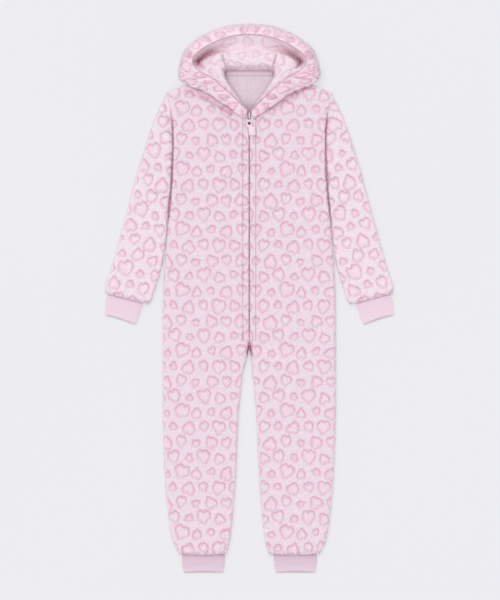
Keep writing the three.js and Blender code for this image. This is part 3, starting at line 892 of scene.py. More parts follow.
class SharedEffects:
    """The node groups that more than one finish uses."""

    def __init__(self) -> None:
        """Builds each group once."""
        self.pile = self._pile()
        self.hearts = self._hearts()
        self.knit = self._knit()

    @staticmethod
    def _pile() -> bpy.types.NodeTree:
        """Uneven pile: soft clumps with finer fibres over them, two noises added.

        Returns:
            The group.
        """
        wiring = new_group(
            "plush_pile",
            {"Place": VECTOR, "Clump Scale": NUMBER, "Fibre Scale": NUMBER},
            {"Clumps": NUMBER, "Fibres": NUMBER, "Height": NUMBER},
        )
        given = wiring.add("NodeGroupInput").outputs
        clumps = wiring.noise(given["Place"], given["Clump Scale"], 3.0)
        fibres = wiring.noise(given["Place"], given["Fibre Scale"], 2.0, 1.2)
        height = wiring.maths("MULTIPLY_ADD", clumps, 0.9, wiring.maths("MULTIPLY", fibres, 0.55))
        wiring.add("NodeGroupOutput", {"Clumps": clumps, "Fibres": fibres, "Height": height})
        return wiring.tree

    @staticmethod
    def _hearts() -> bpy.types.NodeTree:
        """Carved hearts: a grey-pink line on each outline, partly print and partly painted groove shade, a
        pink band inside it, a tint and a halo.

        Each is a smooth step of the distance from the outline, broken up by the pile's noises. Line and band
        grow on outlines facing up the cloth: painted shade.

        Returns:
            The group.
        """
        wiring = new_group(
            "carved_hearts",
            {
                "Distance": NUMBER, "Tone": NUMBER, "Up": NUMBER, "Waver": NUMBER, "Mottle": NUMBER,
                "Ground": COLOUR, "Halo": COLOUR, "Fill": COLOUR, "Band": COLOUR, "Line": COLOUR,
            },
            {"Color": COLOUR, "Groove": NUMBER},
        )
        maths, step, blend = wiring.maths, wiring.step, wiring.blend
        given = wiring.add("NodeGroupInput").outputs
        distance = maths("ADD", given["Distance"], maths("MULTIPLY_ADD", given["Waver"], 5.0, -2.5))
        within = maths("MULTIPLY", distance, -1.0)
        from_line = maths("ABSOLUTE", maths("SUBTRACT", distance, 0.2))
        line = maths("SUBTRACT", 1.0, step(from_line, 0.2, 3.0))
        band = maths("MULTIPLY", step(within, -2.0, 0.8), maths("SUBTRACT", 1.0, step(within, 3.2, 6.8)))
        middle = maths("MULTIPLY", step(within, 2.5, 6.0), given["Tone"])
        halo = maths("SUBTRACT", 1.0, step(distance, 1.5, 9.0))
        patchy = maths("MULTIPLY_ADD", given["Mottle"], 0.55, 0.2)
        # Painted shade: the line and the band are stronger on outlines that face up the cloth.
        broken = maths("MULTIPLY", line, maths("MULTIPLY_ADD", given["Waver"], 1.9, -0.5))
        broken = maths("MULTIPLY", broken, maths("MULTIPLY_ADD", given["Up"], 1.0, 0.36))
        band = maths("MULTIPLY", band, maths("MULTIPLY_ADD", given["Up"], 0.95, 0.5))
        colour = blend(maths("MULTIPLY", halo, patchy), given["Ground"], given["Halo"])
        colour = blend(middle, colour, given["Fill"])
        colour = blend(maths("MULTIPLY", band, patchy), colour, given["Band"])
        wiring.add("NodeGroupOutput", {"Color": blend(broken, colour, given["Line"]), "Groove": line})
        return wiring.tree

    @staticmethod
    def _knit() -> bpy.types.NodeTree:
        """Fine knit: rows of stitches across the ribs, a wave along the piece with a little noise.

        Returns:
            The group.
        """
        inputs = {"Place": VECTOR, "Scale": NUMBER}
        wiring = new_group("fine_knit", inputs, {"Rows": NUMBER, "Height": NUMBER})
        given = wiring.add("NodeGroupInput").outputs
        wave = {"Vector": given["Place"], "Scale": given["Scale"], "Distortion": 1.5, "Detail": 1.0}
        rows = wiring.add("ShaderNodeTexWave", wave, bands_direction="Y").outputs[1]
        fuzz = wiring.noise(given["Place"], 2600.0, 2.0)
        height = wiring.maths("MULTIPLY_ADD", fuzz, 0.5, wiring.maths("MULTIPLY", rows, 0.5))
        wiring.add("NodeGroupOutput", {"Rows": rows, "Height": height})
        return wiring.tree


def new_material(name: str) -> tuple[bpy.types.Material, Wiring, bpy.types.Node]:
    """Starts a material.

    Args:
        name: the material's name.

    Returns:
        The material, a way to wire it, and its Principled shader.
    """
    material = bpy.data.materials.new(name)
    material.use_nodes = True
    wiring = Wiring(material.node_tree)
    return material, wiring, material.node_tree.nodes["Principled BSDF"]


@dataclass(frozen=True)
class PlushFinish:
    """Cut-pile plush with carved hearts, or the same cloth's plain reverse; painted shade in hollows, painted
    rim light.
    """

    name: str
    ground: Colour = linear(233, 225, 234)
    blush: Colour = linear(243, 219, 231)
    halo: Colour = linear(246, 213, 228)
    fill: Colour = linear(238, 225, 233)
    band: Colour = linear(243, 198, 217)
    # The heart line's colour: partly print and partly painted groove shade.
    line: Colour = linear(206, 164, 185)
    # Two shade colours: painted shade that the hollow number mixes in at seams, creases, gaps and hollows;
    # the darker one, past 1, paints dark gaps.
    painted_shade: Colour = linear(190, 120, 140)
    painted_dark_shade: Colour = linear(84, 46, 62)
    # Partly the pile's paler tips and partly painted light: a rim highlight on cloth turned away from above.
    tips: Colour = linear(255, 243, 249)
    hearts: bool = True
    bump: float = 0.5
    depth: float = 0.0014
    carved: float = 0.9
    clump_scale: float = 200.0
    fibre_scale: float = 900.0
    patch_scale: float = 105.0

    def build(self, effects: SharedEffects) -> bpy.types.Material:
        """Wires the finish.

        Args:
            effects: the shared node groups.

        Returns:
            The material.
        """
        material, wiring, shader = new_material(self.name)
        place = wiring.cloth_place()
        scales = {"Place": place, "Clump Scale": self.clump_scale, "Fibre Scale": self.fibre_scale}
        pile = wiring.add("ShaderNodeGroup", scales, node_tree=effects.pile).outputs
        blushing = wiring.step(wiring.noise(place, self.patch_scale, 3.0), 0.32, 0.62)
        colour = wiring.blend(blushing, self.ground, self.blush)
        height = pile["Height"]
        if self.hearts:
            marks = {
                "Distance": wiring.number("heart_distance"), "Tone": wiring.number("heart_tone"),
                "Up": wiring.number("heart_up"), "Waver": pile["Clumps"], "Mottle": blushing,
                "Ground": colour, "Halo": self.halo, "Fill": self.fill, "Band": self.band, "Line": self.line,
            }
            carved = wiring.add("ShaderNodeGroup", marks, node_tree=effects.hearts).outputs
            colour = carved["Color"]
            height = wiring.maths("MULTIPLY_ADD", carved["Groove"], -self.carved, height)
        # Painted light, partly the pile's paler tips: upright cloth is lightened towards the tips colour.
        colour = wiring.blend(wiring.maths("MULTIPLY", wiring.number("turned"), 0.9), colour, self.tips)
        # Painted shade: the hollow number darkens the colour, and above 1 it goes on towards the darker shade
        # colour.
        hollow = wiring.number("hollow")
        colour = wiring.blend(hollow, colour, self.painted_shade)
        colour = wiring.blend(wiring.maths("SUBTRACT", hollow, 1.0), colour, self.painted_dark_shade)
        clumped = wiring.maths("MULTIPLY_ADD", pile["Clumps"], 0.34, 0.69)
        shade = wiring.maths("MULTIPLY_ADD", pile["Fibres"], 0.3, clumped)
        grey = wiring.add("ShaderNodeCombineColor", {0: shade, 1: shade, 2: shade}).outputs[0]
        finish = {
            "Base Color": wiring.blend(1.0, colour, grey, "MULTIPLY"),
            "Normal": wiring.bump(self.bump, self.depth, height),
            "Roughness": 0.95,
            "Specular IOR Level": 0.15,
            "Sheen Weight": 0.8,
            "Sheen Roughness": 0.4,
            "Sheen Tint": (1.0, 0.93, 0.97, 1.0),
        }
        wiring.feed(shader, finish)
        return material


@dataclass(frozen=True)
class RibFinish:
    """Fine rib knit, with painted shade in its valleys and at the cuff's ends."""

    name: str
    colour: Colour = linear(246, 226, 238)
    valley: Colour = linear(234, 205, 221)
    knit_scale: float = 110.0

    def build(self, effects: SharedEffects) -> bpy.types.Material:
        """Wires the finish.

        Args:
            effects: the shared node groups.

        Returns:
            The material.
        """
        material, wiring, shader = new_material(self.name)
        rows = {"Place": wiring.cloth_place(), "Scale": self.knit_scale}
        knit = wiring.add("ShaderNodeGroup", rows, node_tree=effects.knit).outputs
        # The rib_height number holds the ribs with painted shade at the cuff's top and painted light at its
        # end; valleys take painted shade.
        ridge = wiring.maths("MULTIPLY", wiring.number("rib_height"), 0.82)
        level = wiring.maths("MULTIPLY_ADD", knit["Rows"], 0.18, ridge)
        finish = {
            "Base Color": wiring.blend(level, self.valley, self.colour),
            "Normal": wiring.bump(0.4, 0.0004, knit["Height"]),
            "Roughness": 0.9,
            "Specular IOR Level": 0.2,
            "Sheen Weight": 0.2,
        }
        wiring.feed(shader, finish)
        return material


@dataclass(frozen=True)
class TrimFinish:
    """Zip tape, chain, thread and enamel: one colour broken up by a fine noise."""

    name: str
    light: Colour
    dark: Colour
    roughness: float
    scale: float = 900.0
    bump: float = 0.2
    metallic: float = 0.0

    def build(self) -> bpy.types.Material:
        """Wires the finish.

        Returns:
            The material.
        """
        material, wiring, shader = new_material(self.name)
        noise = wiring.noise(wiring.add("ShaderNodeTexCoord").outputs["Object"], self.scale, 3.0)
        finish = {
            "Base Color": wiring.blend(wiring.step(noise, 0.3, 0.7), self.dark, self.light),
            "Normal": wiring.bump(self.bump, 0.0002, noise),
            "Roughness": self.roughness,
            "Metallic": self.metallic,
        }
        wiring.feed(shader, finish)
        return material


@dataclass
class Finishes:
    """Every finish of the garment, made once."""

    effects: SharedEffects = field(default_factory=SharedEffects)

    def __post_init__(self) -> None:
        """Builds the materials."""
        self.plush = PlushFinish("plush_fleece").build(self.effects)
        self.sleeve = PlushFinish(
            "sleeve_fleece", ground=linear(238, 231, 239), blush=linear(248, 226, 237),
            halo=linear(250, 219, 233), fill=linear(243, 230, 238), band=linear(246, 203, 221),
            line=linear(211, 170, 190),
        ).build(self.effects)
        # The hood's and the lining's plush are lighter than the body's, partly painted light against the
        # shade in and around the hood.
        self.hood = PlushFinish(
            "hood_fleece", ground=linear(245, 233, 241), blush=linear(255, 228, 239),
            halo=linear(255, 216, 231), band=linear(250, 190, 212), line=linear(218, 163, 187),
        ).build(self.effects)
        self.lining = PlushFinish(
            "lining_fleece", ground=linear(243, 232, 239), blush=linear(250, 228, 238),
            halo=linear(250, 228, 237), fill=linear(243, 231, 238), band=linear(249, 214, 228),
            line=linear(224, 190, 206),
        ).build(self.effects)
        self.reverse = PlushFinish(
            "fleece_reverse", ground=linear(227, 211, 220), blush=linear(230, 215, 223),
            painted_shade=linear(150, 118, 136), hearts=False, bump=0.3, depth=0.0008,
        ).build(self.effects)
        self.rib = RibFinish("rib_knit").build(self.effects)
        # The legs' rib is a darker copy of the same knit: painted shade.
        low = RibFinish("leg_rib_knit", linear(237, 215, 228), linear(217, 188, 204))
        self.low_rib = low.build(self.effects)
        trims = {
            "tips": TrimFinish("pile_tips", linear(255, 244, 250), linear(252, 228, 239), 0.95, 150.0),
            "tape": TrimFinish("zip_tape", linear(233, 208, 220), linear(224, 194, 208), 0.85),
            "neck": TrimFinish("neck_tape", linear(240, 220, 230), linear(231, 206, 218), 0.9, 400.0),
            # The chain's own colour, made darker than the tape partly as painted shade of the slot.
            "chain": TrimFinish("zip_chain", linear(214, 178, 192), linear(190, 152, 167), 0.5),
            "thread": TrimFinish("seam_thread", linear(222, 182, 200), linear(205, 163, 182), 0.8),
            # Darker pink than the hood: the seam's thread, partly painted shade in the seam.
            "seam": TrimFinish(
                "hood_seam_thread", linear(228, 182, 201), linear(212, 160, 182), 0.85, 300.0
            ),
            # Dark red-pink for the armhole cords: a painted shadow line in the seam.
            "armhole": TrimFinish(
                "armhole_thread", linear(200, 140, 160), linear(160, 100, 122), 0.9, 200.0
            ),
            "enamel": TrimFinish(
                "slider_enamel", linear(249, 222, 234), linear(245, 214, 228), 0.3, 60.0,
                metallic=ENAMEL_METAL,
            ),
            "pull": TrimFinish(
                "pull_enamel", linear(247, 226, 236), linear(246, 216, 229), 0.35, 60.0,
                metallic=ENAMEL_METAL,
            ),
            # A dark finish for the disc under the pull's hole: painted shadow.
            "recess": TrimFinish(
                "slider_recess", linear(92, 60, 74), linear(70, 42, 56), 0.4, 300.0,
                metallic=ENAMEL_METAL,
            ),
        }
        self.trims = {name: trim.build() for name, trim in trims.items()}


CHART = HeartChart()
HOOD_CHART = HeartChart(wander=3.0, wander_cell=7.5)
RELIEF = Relief()
FINE_TO_COARSE = 6
HEM_TUFTS = 360


def line_distance(x: Array, y: Array, start: Sequence[float], end: Sequence[float]) -> Array:
    """How far each place is from a straight line between two ends, in plan.

    Args:
        x: places across.
        y: places along.
        start: the line's first end.
        end: its other end.

    Returns:
        The distance at each place.
    """
    dx, dy = end[0] - start[0], end[1] - start[1]
    near = np.clip(((x - start[0]) * dx + (y - start[1]) * dy) / (dx * dx + dy * dy), 0, 1)
    return np.hypot(x - start[0] - near * dx, y - start[1] - near * dy)


def turned_away(normals: Array) -> Array:
    """How upright the cloth stands, where the finish paints a rim highlight, partly the pile's paler tips,
    from the size of its normal's Z.
    """
    return np.clip(1 - np.abs(normals[:, :, 2]) / 0.8, 0, 1)


def neck_shade(x: Array, y: Array) -> Array:
    """Painted shade on the inside of the back at the foot of the neck's V: a bell about the top of the zip.
    """
    return 0.42 * np.exp(-((x / 17) ** 2) - ((y - 403) / 17) ** 2)


def edge_fade(shape: tuple[int, int], is_tube: bool = False) -> Array:
    """Takes the relief down to nothing over the last grid lines of each border.

    Args:
        shape: how many rows and columns.
        is_tube: whether the columns close on themselves, and so have no border.

    Returns:
        A share from 0, on the border, to 1, as a grid, or as a column for a tube.
    """
    rows, columns = (np.minimum(np.arange(count), np.arange(count)[::-1]) for count in shape)
    least = rows[:, None] if is_tube else np.minimum(rows[:, None], columns)
    return np.clip(least / FADE_LINES, 0, 1)


def plush_numbers(
    place: tuple[Array, Array],
    charted: tuple[Array, Array],
    up_axis: int,
    looks: tuple[Array, Array],
    inner: Array,
    inner_hollow: Array | float = 0.0,
) -> dict[str, Array]:
    """What a plush piece's finish reads at each point, first on the outer grid and then on the inner one.

    Args:
        place: where each point lies across and along the flat cloth.
        charted: distance from the hearts' outlines, and tone.
        up_axis: the grid's axis that runs along the cloth.
        looks: the painted shade on the pile, and how far it is turned away, which sets its painted rim light.
        inner: the inner grid, which has no hearts.
        inner_hollow: the painted shade on the inner side.

    Returns:
        The attributes by name.
    """
    u, v = place
    distance, tone = charted
    hollow, turned = looks
    blank = np.zeros(inner[:, :, 0].size)
    flat = np.stack([u, v, 0 * u], axis=2)
    return {
        "heart_distance": np.concatenate([distance.ravel(), blank + PLAIN]),
        "heart_tone": np.concatenate([tone.ravel(), blank]),
        "heart_up": np.concatenate([facing_up(distance, v, up_axis).ravel(), blank]),
        "cloth_place": np.concatenate([flat.reshape(-1, 3), inner.reshape(-1, 3)]) * MM,
        "hollow": np.concatenate([hollow.ravel(), blank + inner_hollow]),
        "turned": np.concatenate([turned.ravel(), blank]),
    }


BACK_FOLDS = (
    Crease(-120, 430, -30, 470, 8, 2.0),
    Crease(118, 424, 48, 466, 9, 1.7),
    Crease(-160, 300, -84, 352, 12, 1.9),
    Crease(158, 290, 96, 336, 11, 1.6),
    Crease(-150, 170, -58, 196, 13, 1.4),
    Crease(140, 120, 66, 158, 12, 1.7),
    Crease(-128, 20, -40, -6, 14, 1.5),
    Crease(150, -12, 52, 14, 12, 1.4),
    Crease(-24, -96, -104, -46, 11, 2.1),
    Crease(26, -100, 116, -58, 12, 1.8),
    Crease(-160, -240, -92, -216, 13, 1.4),
    Crease(150, -270, 84, -234, 12, 1.6),
    Crease(-140, -410, -76, -436, 11, 1.5),
    Crease(134, -430, 72, -404, 11, 1.3),
)


def softness(x: Array, y: Array, folds: Sequence[Crease] = FOLDS) -> Array:
    """Height of the slow waves and the placed folds: one sine product, and a bell across each fold.

    Args:
        x: places across the garment, signed.
        y: places along it.
        folds: the creases of this side.

    Returns:
        Millimetres to add to the face's height.
    """
    total = 0.45 * np.sin(x / 31 + 1.3 * np.sin(y / 88)) * np.sin(y / 57 + 0.7)
    for fold in folds:
        away = line_distance(x, y, (fold.x1, fold.y1), (fold.x2, fold.y2))
        total = total + fold.height * bell(away, fold.half)
    return total * soft_step(8, 24, np.abs(x))


def edge_lines(first: float, between: int, last: float, steps: int) -> tuple[Array, Array, Array]:
    """Grid lines across a strip whose two edges are round folds.

    Lines on a fold are spaced evenly by angle, at reach times one less the cosine.

    Args:
        first: reach of the fold at the first edge.
        between: how many cells lie between the folds.
        last: reach of the fold at the second edge.
        steps: cells on each fold.

    Returns:
        Distances from the first edge, shares of the way between, and falling distances from the second.
    """
    angle = np.linspace(0, math.pi / 2, steps + 1)
    shares = np.linspace(0, 1, between + 1)[1:-1]
    return first * (1 - np.cos(angle)), shares, (last * (1 - np.cos(angle)))[::-1]


def lines_between(lines: tuple[Array, Array, Array], low: Array, high: Array) -> Array:
    """Places of grid lines between two edges: near each edge by distance, and between by share.

    Args:
        lines: what edge_lines returns.
        low: the first edge, with a last axis of length 1.
        high: the second edge, likewise.

    Returns:
        The places, along the last axis.
    """
    first, shares, last = lines
    start, end = low + first[-1], high - last[0]
    return np.concatenate([low + first, start + (end - start) * shares, high - last], axis=-1)


@dataclass(frozen=True)
class Fringe:
    """Short tufts that stand off the pile where the cloth turns away, so that its outline is soft."""

    count: int
    seed: int
    length: tuple[float, float] = (1.8, 3.8)
    radius: float = 0.42
    on_top: float = 0.1

    def build(self, name: str, surface: Array, normals: Array, finish: Finishes) -> bpy.types.Object:
        """Sows tufts over a surface: each is a thin pyramid on a random grid point, leaning at random.

        A point is drawn with a chance that falls as its normal turns up or down.

        Args:
            name: the new object's name.
            surface: rows by columns of points.
            normals: the outward normals there.
            finish: the finishes.

        Returns:
            The tufts as one object.
        """
        draw = np.random.default_rng(self.seed)
        flat, up = surface.reshape(-1, 3), normals.reshape(-1, 3)
        turned = 1 - soft_step(0.45, 0.85, np.abs(up[:, 2]))
        chance = np.where(up[:, 2] > -0.5, np.maximum(turned, self.on_top * (up[:, 2] > 0)), 0.0)
        chosen = draw.choice(len(flat), self.count, p=chance / chance.sum())
        out = up[chosen]
        side = np.cross(out, draw.normal(size=out.shape))
        side /= np.maximum(np.linalg.norm(side, axis=1, keepdims=True), 1e-9)
        other = np.cross(out, side)
        lean = out + side * draw.uniform(0.1, 0.9, (self.count, 1))
        lean /= np.linalg.norm(lean, axis=1, keepdims=True)
        root = flat[chosen] - 0.5 * out + draw.normal(scale=0.5, size=out.shape) * (1 - np.abs(out))
        tip = root + lean * draw.uniform(*self.length, (self.count, 1))
        corners = [
            root + self.radius * (math.cos(turn) * side + math.sin(turn) * other)
            for turn in (0.0, 2 * math.pi / 3, 4 * math.pi / 3)
        ]
        points = np.stack([*corners, tip], axis=1)
        points[:, :, 2] = np.maximum(points[:, :, 2], 0.02)
        faces = np.array([(0, 2, 1), (0, 1, 3), (1, 2, 3), (2, 0, 3)])
        triangles = copies(faces, 4, self.count)
        piece = make_piece(name, points.reshape(-1, 3), triangles, finish.trims["tips"])
        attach(piece, "garment")
        return piece


@dataclass(frozen=True)
class PanelMesh:
    """How many cells a panel has between its folds and on each fold, and how many tufts."""

    across: int
    along: int
    fold: int
    tufts: int
    seed: int


PANEL_MESH = {Face.FRONT: PanelMesh(104, 632, 8, 6000, 21), Face.BACK: PanelMesh(68, 374, 5, 2000, 22)}


@dataclass
class Panel:
    """One front or back of the body with its leg, from the shoulder to the ankle."""

    side: Side
    face: Face
    finish: Finishes
    side_reach: float = 8.5
    middle_reach: float = 4.5
    top_reach: float = 8.5
    hem_reach: float = 9.0
    kept_middle: float = 0.72
    kept_armhole: float = 0.55
    kept_hem: float = 0.35
    hem_sag: float = 2.2
    back_shift: float = 57.0

    @property
    def is_front(self) -> bool:
        """Whether this is a front panel."""
        return self.face is Face.FRONT

    @property
    def name(self) -> str:
        """The solid's name."""
        return f"{self.face.name.lower()}_{self.side.hand}"

    def top_edge(self, x: Array) -> Array:
        """The upper edge: the neckline as far as the neck point, then the straight shoulder seam.

        Args:
            x: places across the panel, from the middle out.

        Returns:
            The edge's height at each place.
        """
        along = (x - NECK_POINT[0]) / (SHOULDER_TIP[0] - NECK_POINT[0])
        shoulder = mix(NECK_POINT[1], SHOULDER_TIP[1], along)
        if self.is_front:
            neck = column(FRONT_NECK, "x", "y", x)
        else:
            neck = mix(NECK_BACK_Y, NECK_POINT[1], (x / NECK_POINT[0]) ** 2)
        return np.where(x >= NECK_POINT[0], shoulder, neck)

    def hem_edge(self, x: Array) -> Array:
        """The lower edge: straight at the back, and at the front sagging over the cuff with a little noise.

        Args:
            x: places along the panel's top, which its columns are numbered by.

        Returns:
            The hem's height at each column.
        """
        if not self.is_front:
            return np.full(x.shape, LEG_HEM_Y)
        sag = self.hem_sag * np.sin(math.pi * x / SHOULDER_TIP[0])
        return LEG_HEM_Y - sag - 0.8 * value_noise(x, np.full(x.shape, 50.0 * self.side.value), 9.0, 10)

    def middle_edge(self, y: Array) -> Array:
        """The edge at the middle: beside the zip, then the seam to the crotch, then the inside of the leg.

        Args:
            y: places along the panel.

        Returns:
            The edge's distance from the garment's middle.
        """
        if self.is_front:
            slot = mix(ZIP_HALF_SLOT, ZIP_TOP_HALF, soft_step(383, 388, y))
            zip_edge = mix(SEAM_GAP / 2, slot, soft_step(ZIP_END_Y - ZIP_CLOSES, ZIP_END_Y, y))
        else:
            zip_edge = np.full(np.shape(y), SEAM_GAP / 2)
        shift = self.side.value * LEG_GAP_SHIFT * (1 - soft_step(CROTCH_Y - 60, CROTCH_Y - 10, y))
        return np.maximum(zip_edge, column(BODY_OUTLINE, "y", "gap", y) + shift)

    def surface(self, mesh: PanelMesh, is_outer: bool, every: int = 1) -> Array:
        """The outer or inner face, whose height follows how far the wall has risen from its seams.

        Args:
            mesh: how finely it is cut up.
            is_outer: which face.
            every: keep one grid line in this many.

        Returns:
            Rows by columns of points, from the hem up and from the middle out.
        """
        columns = edge_lines(self.middle_reach, mesh.across, self.side_reach, mesh.fold)
        rows = edge_lines(self.hem_reach, mesh.along, self.top_reach, mesh.fold)
        top_x = lines_between(columns, np.array([ZIP_HALF_SLOT]), np.array([SHOULDER_TIP[0]]))[::every]
        top = self.top_edge(top_x)
        hem = self.hem_edge(top_x)
        y = lines_between(rows, hem[:, None], top[:, None]).T[::every]
        above = y > SHOULDER_TIP[1]
        low = np.where(above, ZIP_HALF_SLOT, self.middle_edge(y))
        high = np.where(above, SHOULDER_TIP[0], column(BODY_OUTLINE, "y", "outer", y))
        first, shares, last = columns
        share = np.concatenate([np.zeros_like(first), shares, np.ones_like(last)])[::every]
        distance = np.concatenate([first, np.zeros_like(shares), -last])[::every]
        inside = (share > 0) & (share < 1)
        start, end = low + self.middle_reach, high - self.side_reach
        x = np.where(inside, start + (end - start) * share, np.where(share == 0, low, high) + distance)
        flat_top = np.broadcast_to(1 - soft_step(71, 80, top_x), x.shape)
        kept_armhole = mix(self.kept_armhole, 0.9, soft_step(375, 425, y))
        kept_side = np.where(above, 0.0, soft_step(UNDERARM_Y - 4, UNDERARM_Y + 60, y) * kept_armhole)
        kept_middle = soft_step(CROTCH_Y - 26, CROTCH_Y, y) * self.kept_middle
        risen_across = np.minimum(
            mix(risen(x - low, self.middle_reach), 1.0, kept_middle),
            mix(risen(high - x, self.side_reach), 1.0, kept_side),
        )
        risen_along = np.minimum(
            mix(risen(top - y, self.top_reach), 1.0, flat_top),
            mix(risen(y - hem, self.hem_reach), 1.0, self.kept_hem),
        )
        lift = risen_across * risen_along
        sign, half = self.face.value, MIDDLE - BUTT_GAP / 2
        if self.is_front:
            soft = (softness(self.side.value * x, y) + self.gathers(x, y)) * lift
        else:
            soft = np.maximum(softness(self.side.value * x, y, BACK_FOLDS), 0) * lift
        if is_outer:
            z = MIDDLE + sign * (BUTT_GAP / 2 + half * lift) + soft
            return np.stack([self.side.value * x, y, z], axis=2)

        def inset(amount: float, away: Array) -> Array:
            """How far the inner face stands in from an edge, fading over the wall's turn."""
            return amount * np.clip(1 - away / 9, 0, 1)

        x = x + inset(FLEECE * 0.55, x - low) - inset(FLEECE * 0.75, high - x)
        y = y - inset(FLEECE * 0.6, top - y) * (1 - flat_top) + inset(FLEECE * 0.6, y - hem)
        z = MIDDLE + sign * (BUTT_GAP / 2 + (half - FLEECE) * lift) + 0.3 * soft
        return np.stack([self.side.value * x, y, z], axis=2)

    @staticmethod
    def gathers(x: Array, y: Array) -> Array:
        """Small puckers where the leg is gathered into its cuff: a cosine across, fading up the leg."""
        return 0.9 * bell(y - LEG_HEM_Y, 26) * np.cos(2 * math.pi * 6 * (x - 98.7) / 100)

    def build(self) -> bpy.types.Object:
        """Returns:
            The piece.
        """
        mesh = PANEL_MESH[self.face]
        base = self.surface(mesh, True)
        inner = self.surface(mesh, False, FINE_TO_COARSE)
        away_from = np.array([0.0, 0.0, -FAR * self.face.value])
        normals = grid_normals(base, away_from)
        middle = base.shape[1] // 2
        u = run_across(base, middle, (0, 1, 0)) * self.side.value + base[:, middle : middle + 1, 0]
        v = base[:, :, 1] + (0 if self.is_front else self.back_shift)
        charted = CHART.read(u, v)
        height = RELIEF.height(u, v, charted[0]) * edge_fade(base.shape[:2])
        if self.is_front:
            height = height + self.topstitch_groove(base)
        else:
            height = np.minimum(height, 0.0)
        outer = base + normals * height[:, :, None]
        if not self.is_front:
            outer[:, :, 2] = np.maximum(outer[:, :, 2], 0.0)
        points, triangles = Shell(outer, inner).arrays()
        looks = (self.shade(base), turned_away(normals))
        # Painted shade on the back's inside at the foot of the neck's V.
        inside_shade = neck_shade(inner[:, :, 0], inner[:, :, 1]).ravel()
        numbers = plush_numbers((u, v), charted, 0, looks, inner, inside_shade)
        piece = make_piece(f"{self.name}_fleece", points, triangles, self.finish.plush, numbers)
        second_finish(piece, self.finish.reverse, np.all(triangles >= outer[:, :, 0].size, axis=1))
        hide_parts(self.name)
        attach(piece, "garment")
        below = f"back_{self.side.hand}_fleece" if self.is_front else "ground"
        pile = Fringe(mesh.tufts, mesh.seed + self.side.value)
        pile.build(f"{self.name}_pile", outer, normals, self.finish)
        if self.is_front:
            hem = Fringe(HEM_TUFTS, 51 + self.side.value, length=(2.0, 4.4), on_top=0.5)
            hem.build(f"{self.name}_hem_pile", outer[1:8], normals[1:8], self.finish)
        return piece

    def shade(self, base: Array) -> Array:
        """Painted shade, deeper and pinker: a bell off each seam the pile sinks into, and a painted shadow
        off the hood.

        Args:
            base: the outer face's points.

        Returns:
            A share from 0 to 1 at each point.
        """
        if not self.is_front:
            return np.zeros(base.shape[:2])
        x, y = np.abs(base[:, :, 0]), base[:, :, 1]
        from_middle = np.maximum(x - self.middle_edge(y), 0)
        from_side = np.maximum(column(BODY_OUTLINE, "y", "outer", y) - x, 0)
        # Every term is painted shade: the seam between the legs, the side by the armhole, the creases, the
        # crotch's dark gap, the armhole's line and the topstitching's channel.
        middle = 0.6 * bell(from_middle, 0.8) * soft_step(-112, -100, y)
        beside = 0.75 * bell(from_side, 2.2) * soft_step(150, 200, y) * (1 - soft_step(370, 412, y))
        under = np.full(x.shape, 1e3)
        edge = [(row.side[0], row.side[1]) for row in HOOD_OUTER[5:]]
        for start, end in zip(edge[:-1], edge[1:]):
            under = np.minimum(under, line_distance(x, y, start, end))
        for fold in FOLDS[:4]:
            start, end = (fold.x1, fold.y1), (fold.x2, fold.y2)
            from_fold = line_distance(self.side.value * x, y + 2, start, end)
            beside = beside + np.maximum(-fold.height, 0) * 0.12 * bell(from_fold, fold.half)
        # Painted shadow that the hood casts on the chest below its edge.
        hood = 0.32 * bell(under, 6.5) * soft_step(14, 40, x)
        crotch = 2.0 * np.exp(-((from_middle / 4.4) ** 2) - ((y + 108) / 13) ** 2)
        ragged = 0.55 + 0.45 * value_noise(x, y, 5.0, 8)
        beside_seam = soft_step(135, 160, y) * (1 - soft_step(385, 415, y))
        armhole = 0.9 * ragged * bell(from_side, 1.1) * beside_seam
        stitched = 0.3 * bell(x - TOPSTITCH_X, 1.3) * soft_step(TOPSTITCH_END_Y - 6, TOPSTITCH_END_Y, y)
        return np.clip(middle + beside + hood + crotch + armhole + stitched, 0, 2)

    @staticmethod
    def topstitch_groove(base: Array) -> Array:
        """The shallow channel of the topstitching beside the zip: a bell across, ending past the zip.

        Args:
            base: the outer face's points.

        Returns:
            Millimetres to add along the normal, below 0.
        """
        away = np.abs(base[:, :, 0]) - TOPSTITCH_X
        ends = soft_step(TOPSTITCH_END_Y - 6, TOPSTITCH_END_Y, base[:, :, 1])
        return -1.5 * bell(away, 1.5) * ends


